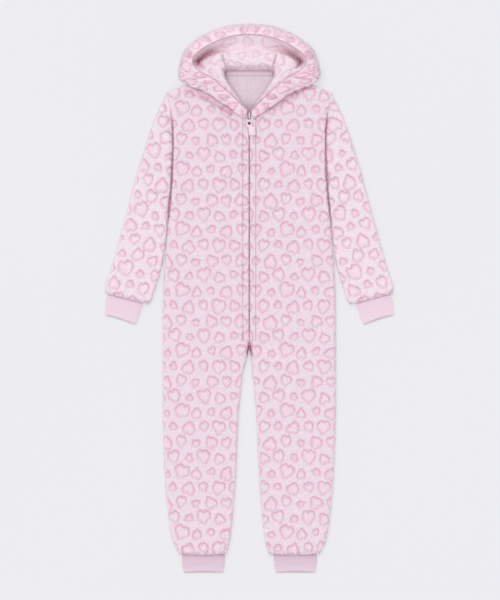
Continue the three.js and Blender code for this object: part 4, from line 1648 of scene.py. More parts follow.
@dataclass
class Sleeve:
    """A sleeve: a flattened tube from the armhole to its hem."""

    side: Side
    finish: Finishes
    outer_reach: float = 9.0
    inner_reach: float = 12.0
    kept_armhole: float = 0.3
    armhole_reach: float = 0.09
    rows: int = 288
    front_cells: int = 56
    back_cells: int = 30
    fold_cells: int = 7

    def surface(self, sections: Array, is_outer: bool, every: int = 1) -> Array:
        """The outer or inner face: each section is a flat tube with two round edges.

        Args:
            sections: places along the sleeve, 0 at the armhole and 1 at the hem.
            is_outer: which face.
            every: keep one grid line in this many.

        Returns:
            Rows by columns of points, the columns closing round the tube.
        """
        at = sections[::every][:, None]
        edge = {name: column(SLEEVE_OUTLINE, "at", name, at) for name in SleeveRow._fields[1:]}
        width = np.hypot(edge["outer_x"] - edge["inner_x"], edge["outer_y"] - edge["inner_y"])
        counts = (self.front_cells, self.back_cells)
        lines = (edge_lines(self.outer_reach, count, self.inner_reach, self.fold_cells) for count in counts)
        front, back = (lines_between(line, 0 * width, width) for line in lines)
        away = np.concatenate([front, back[:, 1:-1][:, ::-1]], axis=1)[:, ::every]
        facing = np.concatenate([np.ones(front.shape[1]), -np.ones(back.shape[1] - 2)])[::every]
        hem = risen(1 - at, 0.03)
        lift = np.minimum(risen(away, self.outer_reach), risen(width - away, self.inner_reach))
        inset = 0.0 if is_outer else FLEECE * 0.8
        share = np.clip(away, inset * 1.02, width - inset * 1.02) / width
        x = mix(edge["outer_x"], edge["inner_x"], share)
        y = mix(edge["outer_y"], edge["inner_y"], share)
        first = SLEEVE_OUTLINE[0]
        chord = mix(first.inner_x, first.outer_x, (y - first.inner_y) / (first.outer_y - first.inner_y))
        gap = mix(0.7, 0.1, soft_step(350, 400, y))
        x = x + (1 - soft_step(0, 0.16, at)) * (column(BODY_OUTLINE, "y", "outer", y) + gap - chord)
        kept = mix(self.kept_armhole, 0.85, soft_step(370, 420, y))
        lift = lift * mix(kept, 1.0, soft_step(0, self.armhole_reach, at)) * mix(0.35, 1.0, hem)
        pucker = 0.9 * np.cos(2 * math.pi * 5 * share) * soft_step(0.86, 1, at)
        waves = softness(self.side.value * (x + 40), y) * 0.8 + pucker
        soft = np.where(facing > 0, waves, np.maximum(-1.4 * waves, 0)) * lift
        half = MIDDLE - (0 if is_outer else FLEECE)
        z = MIDDLE + facing * half * lift + soft * (1 if is_outer else 0.3)
        return np.stack([self.side.value * x, y, z], axis=2)

    def build(self) -> bpy.types.Object:
        """Returns:
            The piece.
        """
        sections = 1 - (1 - np.linspace(0, 1, self.rows + 1)) ** 1.15
        base = self.surface(sections, True)
        inner = self.surface(sections, False, FINE_TO_COARSE)
        centre = base.mean(axis=1, keepdims=True)
        normals = grid_normals(base, centre, tube=True)
        grain = np.array([self.side.value * 0.24, -0.971, 0.0])
        u = self.side.value * run_across(base, self.front_cells // 2 + self.fold_cells, grain) + 61
        v = 18 - base @ grain
        charted = CHART.read(u, v)
        fade = edge_fade(base.shape[:2], is_tube=True)
        outer = base + normals * (RELIEF.height(u, v, charted[0]) * fade)[:, :, None]
        outer[:, :, 2] = np.maximum(outer[:, :, 2], 0.0)
        points, triangles = Shell(outer, inner, tube=True).arrays()
        looks = (self.shade(base, sections), turned_away(normals))
        numbers = plush_numbers((u, v), charted, 0, looks, inner)
        name = f"sleeve_{self.side.hand}"
        piece = make_piece(f"{name}_fleece", points, triangles, self.finish.sleeve, numbers)
        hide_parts(name)
        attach(piece, "garment")
        Fringe(4500, 31 + self.side.value).build(f"{name}_pile", outer, normals, self.finish)
        hem = Fringe(HEM_TUFTS, 61 + self.side.value, length=(2.0, 4.2), on_top=0.5)
        hem.build(f"{name}_hem_pile", outer[-8:-1], normals[-8:-1], self.finish)
        return piece

    def shade(self, base: Array, sections: Array) -> Array:
        """Painted shade, deeper and pinker, beside the body: a bell off the sleeve's inner edge.

        Args:
            base: the outer face's points.
            sections: the place of each row along the sleeve.

        Returns:
            A share at each point.
        """
        edge_x = column(SLEEVE_OUTLINE, "at", "inner_x", sections)[:, None]
        edge_y = column(SLEEVE_OUTLINE, "at", "inner_y", sections)[:, None]
        away = np.hypot(np.abs(base[:, :, 0]) - edge_x, base[:, :, 1] - edge_y)
        body = np.abs(base[:, :, 0]) - column(BODY_OUTLINE, "y", "outer", base[:, :, 1])
        away = np.minimum(away, np.where(base[:, :, 1] > 280, np.maximum(body, 0), 1e3))
        y = base[:, :, 1]
        ragged = 0.55 + 0.45 * value_noise(base[:, :, 0], y, 5.0, 9)
        # Painted shade in the gap between the sleeve and the body.
        depth = 0.75 * bell(away, 3.0) + 0.9 * ragged * bell(away, 1.1)
        return depth * soft_step(120, 190, y) * (1 - soft_step(370, 412, y))


@dataclass
class Cuff:
    """A rib cuff: an oval tube of fine ribs that narrows to its end."""

    name: str
    side: Side
    finish: Finishes
    x: float
    y: float
    length: float
    turn: float
    top_half: float
    end_half: float
    half_height: float = 4.6
    middle: float = 5.0
    ribs: int = 84
    cells_per_rib: int = 6
    rib_height: float = 0.38
    skew: float = 0.0
    arch: float = 3.4
    back_arch: float = 0.9
    is_low: bool = False

    def build(self) -> bpy.types.Object:
        """Returns:
            The piece.
        """
        dense = np.linspace(0, 2 * math.pi, 4001)
        oval_x = bent(np.cos(dense), 0.8) * (self.top_half + self.end_half) / 2
        oval_z = bent(np.sin(dense), 0.55) * self.half_height
        run = np.concatenate([[0], np.cumsum(np.hypot(np.diff(oval_x), np.diff(oval_z)))])
        count = self.ribs * self.cells_per_rib
        place = np.arange(count) / count
        angle = np.interp(place * run[-1], run, dense)
        rib = 0.5 + 0.5 * np.cos(2 * math.pi * self.ribs * place)
        rows = np.linspace(0, 1, 13)
        outer = self.surface(rows, angle, self.rib_height * (rib - 1))
        inner = self.surface(rows[::4], angle[::4], np.full(count // 4, -RIB))
        points, triangles = Shell(outer, inner, tube=True).arrays()
        around = np.broadcast_to(place * run[-1], outer.shape[:2])
        down_run = np.broadcast_to(rows[:, None] * self.length, outer.shape[:2])
        places = np.stack([around, down_run, 0 * around], axis=2).reshape(-1, 3)
        # Painted shade at the cuff's top under the hem, and painted light towards its end, stronger on the
        # legs.
        shaded = 0.9 if self.is_low else 0.3
        ends = shaded * (bell(rows, 0.22) - 0.5 * soft_step(0.6, 0.9, rows))
        lit = rib[None, :] - ends[:, None]
        numbers = {
            "rib_height": np.concatenate([lit.ravel(), np.ones(inner[:, :, 0].size)]),
            "cloth_place": np.concatenate([places, inner.reshape(-1, 3)]) * MM,
        }
        material = self.finish.low_rib if self.is_low else self.finish.rib
        piece = make_piece(f"{self.name}_rib", points, triangles, material, numbers)
        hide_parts(self.name)
        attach(piece, "garment")
        return piece

    def surface(self, t: Array, angle: Array, lift: Array) -> Array:
        """Points of the tube: an oval section whose half widths are powers of a cosine and a sine.

        Args:
            t: shares of the cuff's length.
            angle: where each column stands round the oval.
            lift: how far each column stands out from the oval.

        Returns:
            Rows by columns of points, the columns closing round the tube.
        """
        down = np.array([self.turn, -math.sqrt(1 - self.turn**2)])
        over = np.array([-down[1], down[0]])
        half = mix(self.top_half, self.end_half, t)[:, None]
        bow = 0.8 * np.sin(math.pi * t)[:, None]
        lift = lift - 0.9 * (1 - np.sin(math.pi * np.clip(t, 0.0, 1.0)) ** 0.4)[:, None]
        u = bent(np.cos(angle), 0.8) * (half + bow + lift)
        z = bent(np.sin(angle), 0.55) * (self.half_height + lift * 0.9)
        sideways = np.clip(u / half, -1, 1)
        drawn = mix(self.back_arch, self.arch, soft_step(-0.2, 0.5, np.sin(angle)))
        end = self.length - self.skew * sideways - drawn * (1 - sideways**2)
        along = SEAM_GAP / 2 + t[:, None] * end
        x = self.side.value * (self.x + down[0] * along + over[0] * u)
        y = self.y + down[1] * along + over[1] * u
        return np.stack([x, y, self.middle + z + 0 * x], axis=2)


@dataclass
class HoodHalf:
    """One half of the hood: its outer fleece or its lining, lofted through the sections of a table."""

    side: Side
    finish: Finishes
    is_lining: bool
    cells_around: int = 204
    cells_across: int = 78

    def surface(self, u: Array, v: Array) -> Array:
        """A smooth curve through the sections, and along each a smooth curve through its points.

        Args:
            u: places round the hood, from 0 at the crown to 1 at the zip.
            v: places across it, from 0 to 1.

        Returns:
            Rows by columns of points.
        """
        table = HOOD_LINING if self.is_lining else HOOD_OUTER
        control = np.array([list(row) for row in table], dtype=float)
        sections = through(control, u).transpose(1, 0, 2)
        return through(sections, v).transpose(1, 0, 2)

    def build(self) -> bpy.types.Object:
        """Returns:
            The piece.
        """
        u = np.linspace(0, 1, self.cells_around + 1)
        v = np.linspace(0, 1, self.cells_across + 1)
        base = self.surface(u, v)
        away_from = np.array([0.0, 0.0, -FAR] if self.is_lining else [0.0, 520.0, 22.0])
        normals = grid_normals(base, away_from)
        if not self.is_lining:
            base[:, :, 2] = np.maximum(base[:, :, 2], 0.0)
            normals[:, 0] = (0.0, 0.0, 1.0)
        normals[0, :, 0] = 0.0
        normals /= np.maximum(np.linalg.norm(normals, axis=2, keepdims=True), 1e-9)
        thickness = LINING_CLOTH if self.is_lining else HOOD_CLOTH
        inner = base.copy()
        if self.is_lining:
            inner[:, :, 2] -= thickness
        else:
            inner -= normals * thickness
        inner = inner[::FINE_TO_COARSE, ::FINE_TO_COARSE]
        across = run_across(base, 0)
        around = run_across(base.transpose(1, 0, 2), 0)[self.cells_across // 4][:, None]
        squeeze = 1.0 if self.is_lining else 1.15
        cloth_u = around * squeeze + 0 * across + (0 if self.side is Side.RIGHT else 97)
        cloth_v = across * squeeze + (31 if self.is_lining else 0)
        charted = HOOD_CHART.read(cloth_u, cloth_v)
        height = RELIEF.height(cloth_u, cloth_v, charted[0], 0.7 if self.is_lining else 1.0)
        if not self.is_lining:
            height = height + 0.9 * value_noise(cloth_u, cloth_v, 15.0, 6)
        height = height + self.wrinkles(around, v)
        if self.is_lining:
            height = height - 3.2 * self.flap_crease(u[:, None], v[None, :])
        height = height * edge_fade(base.shape[:2])
        outer = base + normals * height[:, :, None]
        if not self.is_lining:
            outer[:, :, 2] = np.maximum(outer[:, :, 2], 0.0)
        for grid in (outer, inner):
            grid[:, :, 0] = self.side.value * (grid[:, :, 0] + CROWN_SEAM_GAP / 2)
        normals[:, :, 0] *= self.side.value
        points, triangles = Shell(outer, inner).arrays()
        turned = turned_away(normals) * (0 if self.is_lining else 1)
        looks = (self.hollow(u, v, around), turned)
        numbers = plush_numbers((cloth_u, cloth_v), charted, 1, looks, inner)
        part = "hood_lining" if self.is_lining else "hood"
        node = f"{part}_{self.side.hand}"
        material = self.finish.lining if self.is_lining else self.finish.hood
        piece = make_piece(f"{node}_fleece", points, triangles, material, numbers)
        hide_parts(node)
        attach(piece, "garment")
        count, on_top = (1500, 0.2) if self.is_lining else (3800, 0.08)
        sown = slice(0, len(v)) if self.is_lining else slice(0, len(v) // 2)
        fringe = Fringe(count, 41 + self.side.value, on_top=on_top)
        fringe.build(f"{node}_pile", outer[:, sown], normals[:, sown], self.finish)
        return piece

    def hollow(self, u: Array, v: Array, around: Array) -> Array:
        """Painted shade, a darker pink, in the band's wrinkles or behind the lining's ridge.

        Args:
            u: places round the hood, from 0 to 1.
            v: places across it, from 0 to 1.
            around: lengths round the hood, as a column.

        Returns:
            A share from 0 to 1 at each point.
        """
        if not self.is_lining:
            # Painted shade in the troughs of the band's wrinkles.
            return np.clip(-0.42 * self.wrinkles(around, v), 0, 0.4)
        u, v = u[:, None], v[None, :]
        # Painted shade in the lining's corners, behind its ridge, at the neck and along the flap's crease.
        corner = 0.95 * np.exp(-(((u - 0.47) / 0.06) ** 2) - ((v - 0.8) / 0.14) ** 2)
        ridge = 0.85 * np.exp(-(((u - 0.37) / 0.1) ** 2) - ((v - 0.69) / 0.06) ** 2)
        behind = 0.4 * np.exp(-(((u - 0.36) / 0.12) ** 2) - ((v - 0.82) / 0.15) ** 2)
        neck = 0.35 * bell(v, 0.07) * (1 - soft_step(0.3, 0.4, u))
        return np.clip(corner + ridge + behind + neck + 0.5 * self.flap_crease(u, v), 0, 1.2)

    @staticmethod
    def flap_crease(u: Array, v: Array) -> Array:
        """Where the lining's front flap leaves the roll: a bell across a line, narrower towards the ridge."""
        middle = (2.7 - 1.15 * v) / 8
        return np.exp(-(((u - middle) / (0.02 - 0.012 * v)) ** 2)) * (1 - soft_step(0.55, 0.64, v))

    def wrinkles(self, around: Array, v: Array) -> Array:
        """Short creases across the band, as the cloth turns over the crown: a product of two waves.

        Args:
            around: lengths round the hood, as a column.
            v: places across it, from 0 to 1.

        Returns:
            Millimetres to add along the normal.
        """
        if self.is_lining:
            return 0.5 * np.sin(around / 9.0 + 1.7 * np.sin(around / 23.0)) * np.sin(math.pi * v)[None, :]
        band = bell(v - 0.16, 0.14)[None, :]
        uneven = 0.6 + 0.4 * np.sin(around / 11.0)
        return 0.9 * np.sin(around / 5.2 + 2.1 * np.sin(around / 17.0)) * band * uneven


def flat_strip(half: float, span: Sequence[float], powers: Sequence[float], y: Array) -> tuple[Array, Array]:
    """A flat strip with rounded long edges, carried along Y: a squared oval section.

    Args:
        half: half its width.
        span: its bottom and top.
        powers: what the section's cosine and sine are raised to.
        y: where its sections stand.

    Returns:
        Its points and triangles, facing out.
    """
    angle = np.linspace(0, 2 * math.pi, 24, endpoint=False)
    thick = (span[1] - span[0]) / 2
    x = bent(np.cos(angle), powers[0]) * half
    z = bent(np.sin(angle), powers[1]) * thick + span[0] + thick
    return capped_tube(np.stack(np.broadcast_arrays(x[None, :], y[:, None], z[None, :]), axis=2))


@dataclass
class ZipTape:
    """The woven tape behind the chain."""

    finish: Finishes
    half: float = 11.0
    span: tuple[float, float] = (6.1, 7.2)

    def build(self) -> bpy.types.Object:
        """Makes the tape.

        Returns:
            The piece.
        """
        y = np.linspace(ZIP_END_Y, ZIP_TOP_Y, 120)
        strip = flat_strip(self.half, self.span, (0.3, 0.6), y)
        piece = make_piece("zip_tape_strip", *strip, self.finish.trims["tape"])
        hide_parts("zip")
        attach(piece, "garment")
        return piece


@dataclass
class ZipChain:
    """The closed coil in the slot, and the bar that closes it above the slider."""

    finish: Finishes
    half: float = 0.75
    low: float = 7.3
    high: float = 12.2
    pitch: float = 1.5
    chain_top: float = 385.5
    bar_half: float = 1.75
    bar_top: float = 402.0

    def build(self) -> bpy.types.Object:
        """Makes the coil and the bar as one piece.

        Returns:
            The piece.
        """
        count = int((self.chain_top - ZIP_END_Y) / self.pitch)
        y = ZIP_END_Y + 1 + np.arange(count) * self.pitch
        lean = np.where(np.arange(count) % 2 == 0, 1.0, -1.0)
        bead, faces = unit_bead(8, 5)
        local = bead * np.array([self.half, self.pitch * 0.46, (self.high - self.low) / 2])
        points = np.repeat(local[None], count, axis=0)
        points[:, :, 0] += 0.12 * lean[:, None] * np.sign(local[None, :, 2])
        points[:, :, 1] += y[:, None]
        points[:, :, 2] += (self.low + self.high) / 2
        beads = (points.reshape(-1, 3), copies(faces, len(bead), count))
        bar_middle = (self.chain_top + 1 + self.bar_top) / 2
        bar_size = (self.bar_half, (self.bar_top - self.chain_top - 1) / 2)
        bar = pebble((0, bar_middle), bar_size, (7.3, 14.6), 0.9, 0.35)
        piece = make_piece("zip_chain", *join_arrays([beads, bar]), self.finish.trims["chain"])
        on_bar = np.arange(len(piece.data.polygons)) >= len(beads[1])
        second_finish(piece, self.finish.trims["enamel"], on_bar)
        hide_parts("zip")
        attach(piece, "garment")
        return piece


def pebble(
    centre: Sequence[float],
    half: Sequence[float],
    span: Sequence[float],
    edge: float,
    power: float,
    turn: float = 0.0,
) -> tuple[Array, Array]:
    """A flat piece with a rounded rim: rings of a squared oval, set in along a quarter circle at each rim.

    Args:
        centre: its middle in plan.
        half: half its width and half its length.
        span: its bottom and top.
        edge: the rim's radius.
        power: what the cosines are raised to: 1 for an oval, less for a squarer outline.
        turn: how far it is turned in plan, in radians.

    Returns:
        Its points and triangles, facing out.
    """
    around = np.linspace(0, 2 * math.pi, 48, endpoint=False)
    rim = np.linspace(0, math.pi / 2, 5)
    set_in = np.concatenate([edge * (1 - np.sin(rim)), edge * (1 - np.cos(rim))])
    height = np.concatenate([span[0] + edge * (1 - np.cos(rim)), span[1] - edge * (1 - np.sin(rim))])
    x = bent(np.cos(around), power) * (half[0] - set_in[:, None])
    y = bent(np.sin(around), power) * (half[1] - set_in[:, None])
    turned_x = centre[0] + x * math.cos(turn) - y * math.sin(turn)
    turned_y = centre[1] + x * math.sin(turn) + y * math.cos(turn)
    return capped_tube(np.stack([turned_x, turned_y, height[:, None] + 0 * x], axis=2))


@dataclass
class Slider:
    """The enamelled slider: its rounded plate, its stem down to the chain, and the bridge for the pull."""

    finish: Finishes
    centre_y: float = 376.6
    half_length: float = 8.5
    half_width: float = 6.0
    low: float = 15.1
    high: float = 16.4
    bridge_y: float = 381.2
    bridge_reach: float = 2.2
    bridge_top: float = 19.6
    wire: float = 0.6
    recess_y: float = 376.3
    recess_radius: float = 3.3

    def build(self) -> bpy.types.Object:
        """Makes the slider as one piece: plate, stem, arch and a dark disc under the pull's hole, a painted
        shadow.

        Returns:
            The piece.
        """
        half = (self.half_width, self.half_length)
        plate = pebble((0, self.centre_y), half, (self.low, self.high), 0.45, 0.6)
        stem = pebble((0, self.centre_y), (1.0, 6.5), (12.3, self.low + 0.4), 0.3, 0.4)
        parts = [plate, stem, self.bridge()]
        # A dark disc under the pull's hole: painted shadow where the hole would show the gap below.
        count = sum(len(triangles) for _, triangles in parts)
        size = (self.recess_radius, self.recess_radius)
        parts.append(pebble((0, self.recess_y), size, (self.high - 0.2, self.high + 0.22), 0.2, 1.0))
        piece = make_piece("slider_body", *join_arrays(parts), self.finish.trims["enamel"])
        second_finish(piece, self.finish.trims["recess"], np.arange(len(piece.data.polygons)) >= count)
        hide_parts("slider")
        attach(piece, "garment")
        return piece

    def bridge(self) -> tuple[Array, Array]:
        """The arch: a round wire swept over half a squared oval in the plane across the hinge.

        Returns:
            Its points and triangles.
        """
        along = np.linspace(0, math.pi, 25)
        around = np.linspace(0, 2 * math.pi, 12, endpoint=False)
        rise = self.bridge_top - self.high
        y = self.bridge_y + bent(np.cos(along), 0.5) * self.bridge_reach
        z = self.high - 0.3 + np.sin(along) ** 0.5 * rise
        slope = np.stack([np.gradient(y), np.gradient(z)], axis=1)
        slope /= np.linalg.norm(slope, axis=1, keepdims=True)
        out = np.stack([-slope[:, 1], slope[:, 0]], axis=1)
        x = 1.1 * np.cos(around)[None, :] + 0 * y[:, None]
        radius = self.wire * np.sin(around)[None, :]
        y = y[:, None] + radius * out[:, :1]
        z = z[:, None] + radius * out[:, 1:]
        return capped_tube(np.stack([x, y, z], axis=2))


@dataclass
class Pull:
    """The zip's pull: a round head with its eye on the bridge, and a wide tail beside the zip."""

    finish: Finishes
    middle_z: float = 17.7
    half_bar: float = 0.65
    head: tuple[float, float, float] = (0.0, 374.65, 7.2)
    hole: tuple[float, float, float] = (0.0, 376.95, 3.6)
    tail: tuple[float, float, float, float] = (6.0, 360.5, 7.2, 9.7)
    turn: float = 0.06

    def build(self) -> bpy.types.Object:
        """Makes the pull: a ring between the hole's circle and the head's, round in section, and the tail.

        Returns:
            The piece.
        """
        around = np.linspace(0, 2 * math.pi, 64, endpoint=False)[:, None]
        section = np.linspace(0, 2 * math.pi, 16, endpoint=False)[None, :]
        share = 0.5 + 0.5 * bent(np.cos(section), 0.6)
        circle = np.stack([np.cos(around), np.sin(around)], axis=2)
        low = np.array(self.hole[:2]) + circle * self.hole[2]
        high = np.array(self.head[:2]) + circle * self.head[2]
        plan = low + (high - low) * share[:, :, None]
        z = self.middle_z + self.half_bar * bent(np.sin(section), 0.6) + 0 * around
        ring = closed_ring(np.concatenate([plan, z[:, :, None]], axis=2))
        span = (self.middle_z - self.half_bar, self.middle_z + self.half_bar)
        tail = pebble(self.tail[:2], self.tail[2:], span, 0.5, 0.25, self.turn)
        piece = make_piece("pull_body", *join_arrays([ring, tail]), self.finish.trims["pull"])
        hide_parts("pull_tab")
        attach(piece, "pull")
        return piece


def unit_bead(around: int, rings: int) -> tuple[Array, Array]:
    """A closed bead one unit in half size: a sphere squared a little by powers of its sines.

    Args:
        around: points on each ring.
        rings: rings between the poles.

    Returns:
        Its points and triangles, facing out.
    """
    height = np.linspace(-1, 1, rings + 2)[1:-1]
    radius = (1 - height**4) ** 0.25
    turn = np.linspace(0, 2 * math.pi, around, endpoint=False)
    ring_x = radius[:, None] * bent(np.cos(turn), 0.7)
    ring_y = radius[:, None] * bent(np.sin(turn), 0.7)
    grid = np.stack([ring_x, ring_y, height[:, None] + 0 * turn], axis=2)
    return capped_tube(grid, caps=(np.array([0, 0, -1.0]), np.array([0, 0, 1.0])))


def capped_tube(grid: Array, caps: tuple[Array, Array] | None = None) -> tuple[Array, Array]:
    """A tube of rings closed at both ends by a fan.

    Args:
        grid: rings by points.
        caps: the fans' middles, or the rings' own middles if not given.

    Returns:
        Its points and triangles, facing out.
    """
    if caps is None:
        caps = (grid[0].mean(axis=0), grid[-1].mean(axis=0))
    numbers = counted(grid)
    wrapped = np.concatenate([numbers, numbers[:, :1]], axis=1)
    low, high = (np.full(grid.shape[1], numbers.size + end) for end in (0, 1))
    fans = [
        np.stack([wrapped[0, 1:], wrapped[0, :-1], low], axis=1),
        np.stack([wrapped[-1, :-1], wrapped[-1, 1:], high], axis=1),
    ]
    points = np.concatenate([grid.reshape(-1, 3), caps])
    return facing_out(points, np.concatenate([cells(wrapped), *fans]))


def closed_ring(grid: Array) -> tuple[Array, Array]:
    """A ring of closed sections: a grid that meets itself both ways, as triangles facing out."""
    return facing_out(grid.reshape(-1, 3), cells(np.pad(counted(grid), ((0, 1), (0, 1)), "wrap")))


def join_arrays(parts: Sequence[tuple[Array, Array]]) -> tuple[Array, Array]:
    """Several point and triangle arrays as one.

    Args:
        parts: the points and triangles of each.

    Returns:
        All the points, and all the triangles with their numbers moved on.
    """
    points, triangles, start = [], [], 0
    for part_points, part_triangles in parts:
        points.append(part_points)
        triangles.append(part_triangles + start)
        start += len(part_points)
    return np.concatenate(points), np.concatenate(triangles)


@dataclass
class Stitching:
    """Rows of thread: two lines of topstitching beside the zip."""

    finish: Finishes
    length: float = 2.6
    pitch: float = 3.7
    half: float = 0.28

    def build(self) -> bpy.types.Object:
        """Makes every stitch as one piece of small beads.

        Returns:
            The piece.
        """
        rows = []
        y = np.arange(TOPSTITCH_END_Y, 396, self.pitch)
        for side in Side:
            x = np.full(y.shape, side.value * TOPSTITCH_X)
            z = MIDDLE * 2 - 0.55 + softness(x, y)
            rows.append(np.stack([x, y, z], axis=1))
        places = np.concatenate(rows)
        bead, faces = unit_bead(6, 3)
        local = bead * np.array([self.half, self.length / 2, self.half])
        points = places[:, None, :] + local[None]
        triangles = copies(faces, len(bead), len(places))
        piece = make_piece("topstitching", points.reshape(-1, 3), triangles, self.finish.trims["thread"])
        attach(piece, "garment")
        return piece


@dataclass
class NeckTape:
    """The tape over the back neck seam: a soft strip with a slightly crowned face."""

    finish: Finishes
    half_width: float = 50.6
    depth: float = 11.0
    low: float = 5.6
    thick: float = 2.4

    def build(self) -> bpy.types.Object:
        """Makes the strip: a flattened oval section carried across the neck.

        Returns:
            The piece.
        """
        angle = np.linspace(0, 2 * math.pi, 20, endpoint=False)
        y = bent(np.cos(angle), 0.35) * self.depth / 2
        z = bent(np.sin(angle), 0.6) * self.thick / 2
        x = np.linspace(-self.half_width, self.half_width, 81)
        sag = 0.15 * np.sin(x / 6.0) + 0.1 * np.sin(x / 2.7)
        middle_y = NECK_BACK_Y + 1.4 - self.depth / 2
        along = middle_y + y[None, :] * 0.97
        up = self.low + self.thick / 2 + z[None, :] + sag[:, None] * (z[None, :] > 0)
        grid = np.stack(np.broadcast_arrays(x[:, None], along, up), axis=2)
        piece = make_piece("neck_tape_strip", *capped_tube(grid), self.finish.trims["neck"])
        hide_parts("neck_tape")
        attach(piece, "garment")
        return piece


@dataclass
class CentreBackSeam:
    """The narrow fleece strip sewn over the inside of the back seam."""

    finish: Finishes
    half: float = 5.0
    span: tuple[float, float] = (5.15, 6.0)

    def build(self) -> bpy.types.Object:
        """Makes the strip.

        Returns:
            The piece.
        """
        y = np.linspace(CROTCH_Y + 30, NECK_BACK_Y - 4, 100)
        points, triangles = flat_strip(self.half, self.span, (0.5, 0.5), y)
        # Painted shade at the foot of the neck's V, as on the back's inside.
        numbers = {"hollow": neck_shade(points[:, 0], points[:, 1])}
        piece = make_piece("centre_back_seam", points, triangles, self.finish.reverse, numbers)
        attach(piece, "garment")
        return piece


@dataclass
class ArmholeSeamShadows:
    """The seams that join the sleeves to the body, sunk in the pile: a thin cord on each side, its dark
    red-pink a painted shadow line.
    """

    finish: Finishes
    radius: float = 1.0
    height: float = 8.2
    top_y: float = 424.0
    end_y: float = 165.0

    def build(self) -> bpy.types.Object:
        """Makes both: a round section carried down the body's outer edge, thinner towards its ends.

        Returns:
            The piece.
        """
        y = np.linspace(self.top_y, self.end_y, 110)
        share = np.linspace(0, 1, len(y))
        x = column(BODY_OUTLINE, "y", "outer", y) + 0.35
        radius = self.radius * np.minimum(1.0, 6 * share * (1 - share) + 0.25)
        radius = radius * (0.75 + 0.4 * value_noise(y, 0 * y, 4.0, 14))
        around = np.linspace(0, 2 * math.pi, 8, endpoint=False)
        across = x[:, None] + radius[:, None] * np.cos(around)
        up = self.height + radius[:, None] * np.sin(around) + 0.3 * np.sin(y / 7.0)[:, None]
        along = y[:, None] + 0 * around
        parts = [capped_tube(np.stack([side.value * across, along, up], axis=2)) for side in Side]
        piece = make_piece("armhole_seam_shadows", *join_arrays(parts), self.finish.trims["armhole"])
        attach(piece, "garment")
        return piece


@dataclass
class HoodEdgeSeam:
    """The seam in the hood's edge, where the fleece meets its lining: a thin cord all the way round, its
    darker pink partly painted seam shade.
    """

    finish: Finishes
    radius: float = 1.1
    rise: float = 1.2

    def build(self) -> bpy.types.Object:
        """Makes the seam: a round section swept midway between the two edges, just under them.

        Returns:
            The piece.
        """
        rims = [np.array([row.rim for row in table], dtype=float) for table in (HOOD_OUTER, HOOD_LINING)]
        t = np.linspace(0, 1, 181)
        half = through((0.5 * (rims[0] + rims[1]))[:, None, :], t)[:, 0]
        half[:, 2] = through(rims[1][:, None, :], t)[:, 0, 2] + self.rise
        path = np.concatenate([(half * np.array([-1.0, 1.0, 1.0]))[:0:-1], half])
        slope = np.gradient(path, axis=0)
        slope /= np.linalg.norm(slope, axis=1, keepdims=True)
        across = np.cross(slope, np.array([0.0, 0.0, 1.0]))
        across /= np.linalg.norm(across, axis=1, keepdims=True)
        up = np.cross(across, slope)
        around = np.linspace(0, 2 * math.pi, 10, endpoint=False)[None, :, None]
        section = np.cos(around) * across[:, None] + np.sin(around) * up[:, None]
        grid = path[:, None] + self.radius * section
        piece = make_piece("hood_edge_seam", *capped_tube(grid), self.finish.trims["seam"])
        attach(piece, "garment")
        return piece


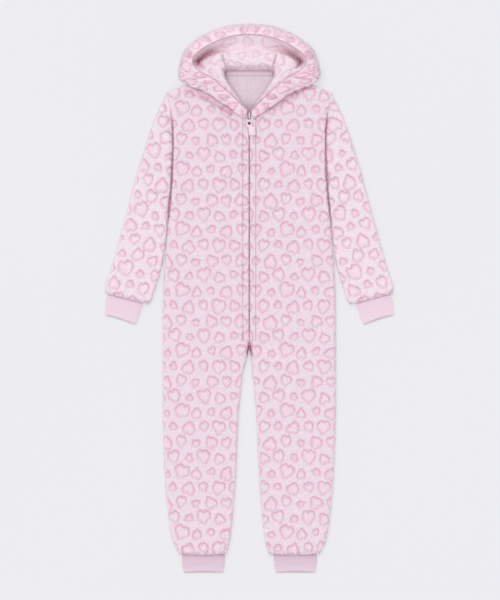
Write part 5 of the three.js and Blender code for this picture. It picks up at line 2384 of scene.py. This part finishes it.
@dataclass
class Studio:
    """A pale floor, soft light and the camera straight above, framed as the photo is."""

    frame_height: float = 1290.0
    centre_x: float = 1.5
    centre_y: float = -2.7
    distance: float = 12.0
    sensor: float = 36.0

    def build(self) -> None:
        """Makes the floor, the lights and the camera."""
        self.camera()
        self.floor()
        self.lights()

    def camera(self) -> None:
        """A long lens straight above: focal length over sensor is distance over framed height."""
        data = bpy.data.cameras.new("overhead")
        data.sensor_fit = "VERTICAL"
        data.sensor_height = self.sensor
        data.lens = self.sensor * self.distance / (self.frame_height * MM)
        data.clip_end = 50.0
        camera = bpy.data.objects.new("overhead", data)
        camera.location = (self.centre_x * MM, self.centre_y * MM, self.distance)
        bpy.context.scene.collection.objects.link(camera)
        bpy.context.scene.camera = camera

    @staticmethod
    def floor() -> None:
        """A wide plain floor just under the garment."""
        reach, low = 6000.0, -0.15
        plan = ((-reach, -reach), (reach, -reach), (reach, reach), (-reach, reach))
        corners = np.array([(x, y, low) for x, y in plan])
        triangles = np.array([(0, 1, 2), (0, 2, 3)])
        material, wiring, shader = new_material("pale_floor")
        noise = wiring.noise(wiring.add("ShaderNodeTexCoord").outputs["Object"], 1.5, 1.0)
        finish = {
            "Base Color": wiring.blend(noise, linear(158, 158, 160), linear(160, 160, 162)),
            "Emission Color": linear(236, 236, 238),
            "Emission Strength": 0.6,
            "Roughness": 0.9,
            "Specular IOR Level": 0.0,
        }
        wiring.feed(shader, finish)
        floor = make_piece("floor", corners, triangles, material)

    @staticmethod
    def lights() -> None:
        """A bright even surround, and a broad soft sun from the upper left."""
        world = bpy.data.worlds.new("surround")
        world.use_nodes = True
        world.node_tree.nodes["Background"].inputs["Color"].default_value = (1.0, 1.0, 1.0, 1.0)
        world.node_tree.nodes["Background"].inputs["Strength"].default_value = 0.76
        bpy.context.scene.world = world
        data = bpy.data.lights.new("soft_sun", "SUN")
        data.angle = math.radians(35)
        data.energy = 0.85
        lamp = bpy.data.objects.new("soft_sun", data)
        lamp.rotation_euler = (math.radians(-22), math.radians(-18), 0)
        bpy.context.scene.collection.objects.link(lamp)


SLEEVE_CUFF = {
    "x": 266.3, "y": 0.67, "length": 48.0, "turn": 0.247,
    "top_half": 39.5, "end_half": 34.8, "skew": 2.2,
}
LEG_CUFF = {
    "x": 98.7, "y": LEG_HEM_Y, "length": 41.0, "turn": 0.0,
    "top_half": 47.0, "end_half": 42.6, "is_low": True,
}


def main() -> None:
    """Builds the garment piece by piece around the frame."""
    logging.basicConfig(level=logging.INFO, format="%(message)s")
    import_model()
    bpy.context.scene.view_settings.view_transform = "Standard"
    Studio().build()
    finish = Finishes()
    builders: list = []
    for side in Side:
        builders += [Panel(side, Face.BACK, finish), Panel(side, Face.FRONT, finish), Sleeve(side, finish)]
        builders.append(Cuff(f"sleeve_cuff_{side.hand}", side, finish, **SLEEVE_CUFF))
        builders.append(Cuff(f"leg_cuff_{side.hand}", side, finish, **LEG_CUFF))
        builders += [HoodHalf(side, finish, True), HoodHalf(side, finish, False)]
    builders += [ZipTape(finish), ZipChain(finish), Slider(finish), Pull(finish)]
    builders += [Stitching(finish), NeckTape(finish), CentreBackSeam(finish), HoodEdgeSeam(finish)]
    builders.append(ArmholeSeamShadows(finish))
    for builder in builders:
        piece = builder.build()
        log.info("%s: %d triangles", piece.name, len(piece.data.polygons))


if __name__ == "__main__":
    main()
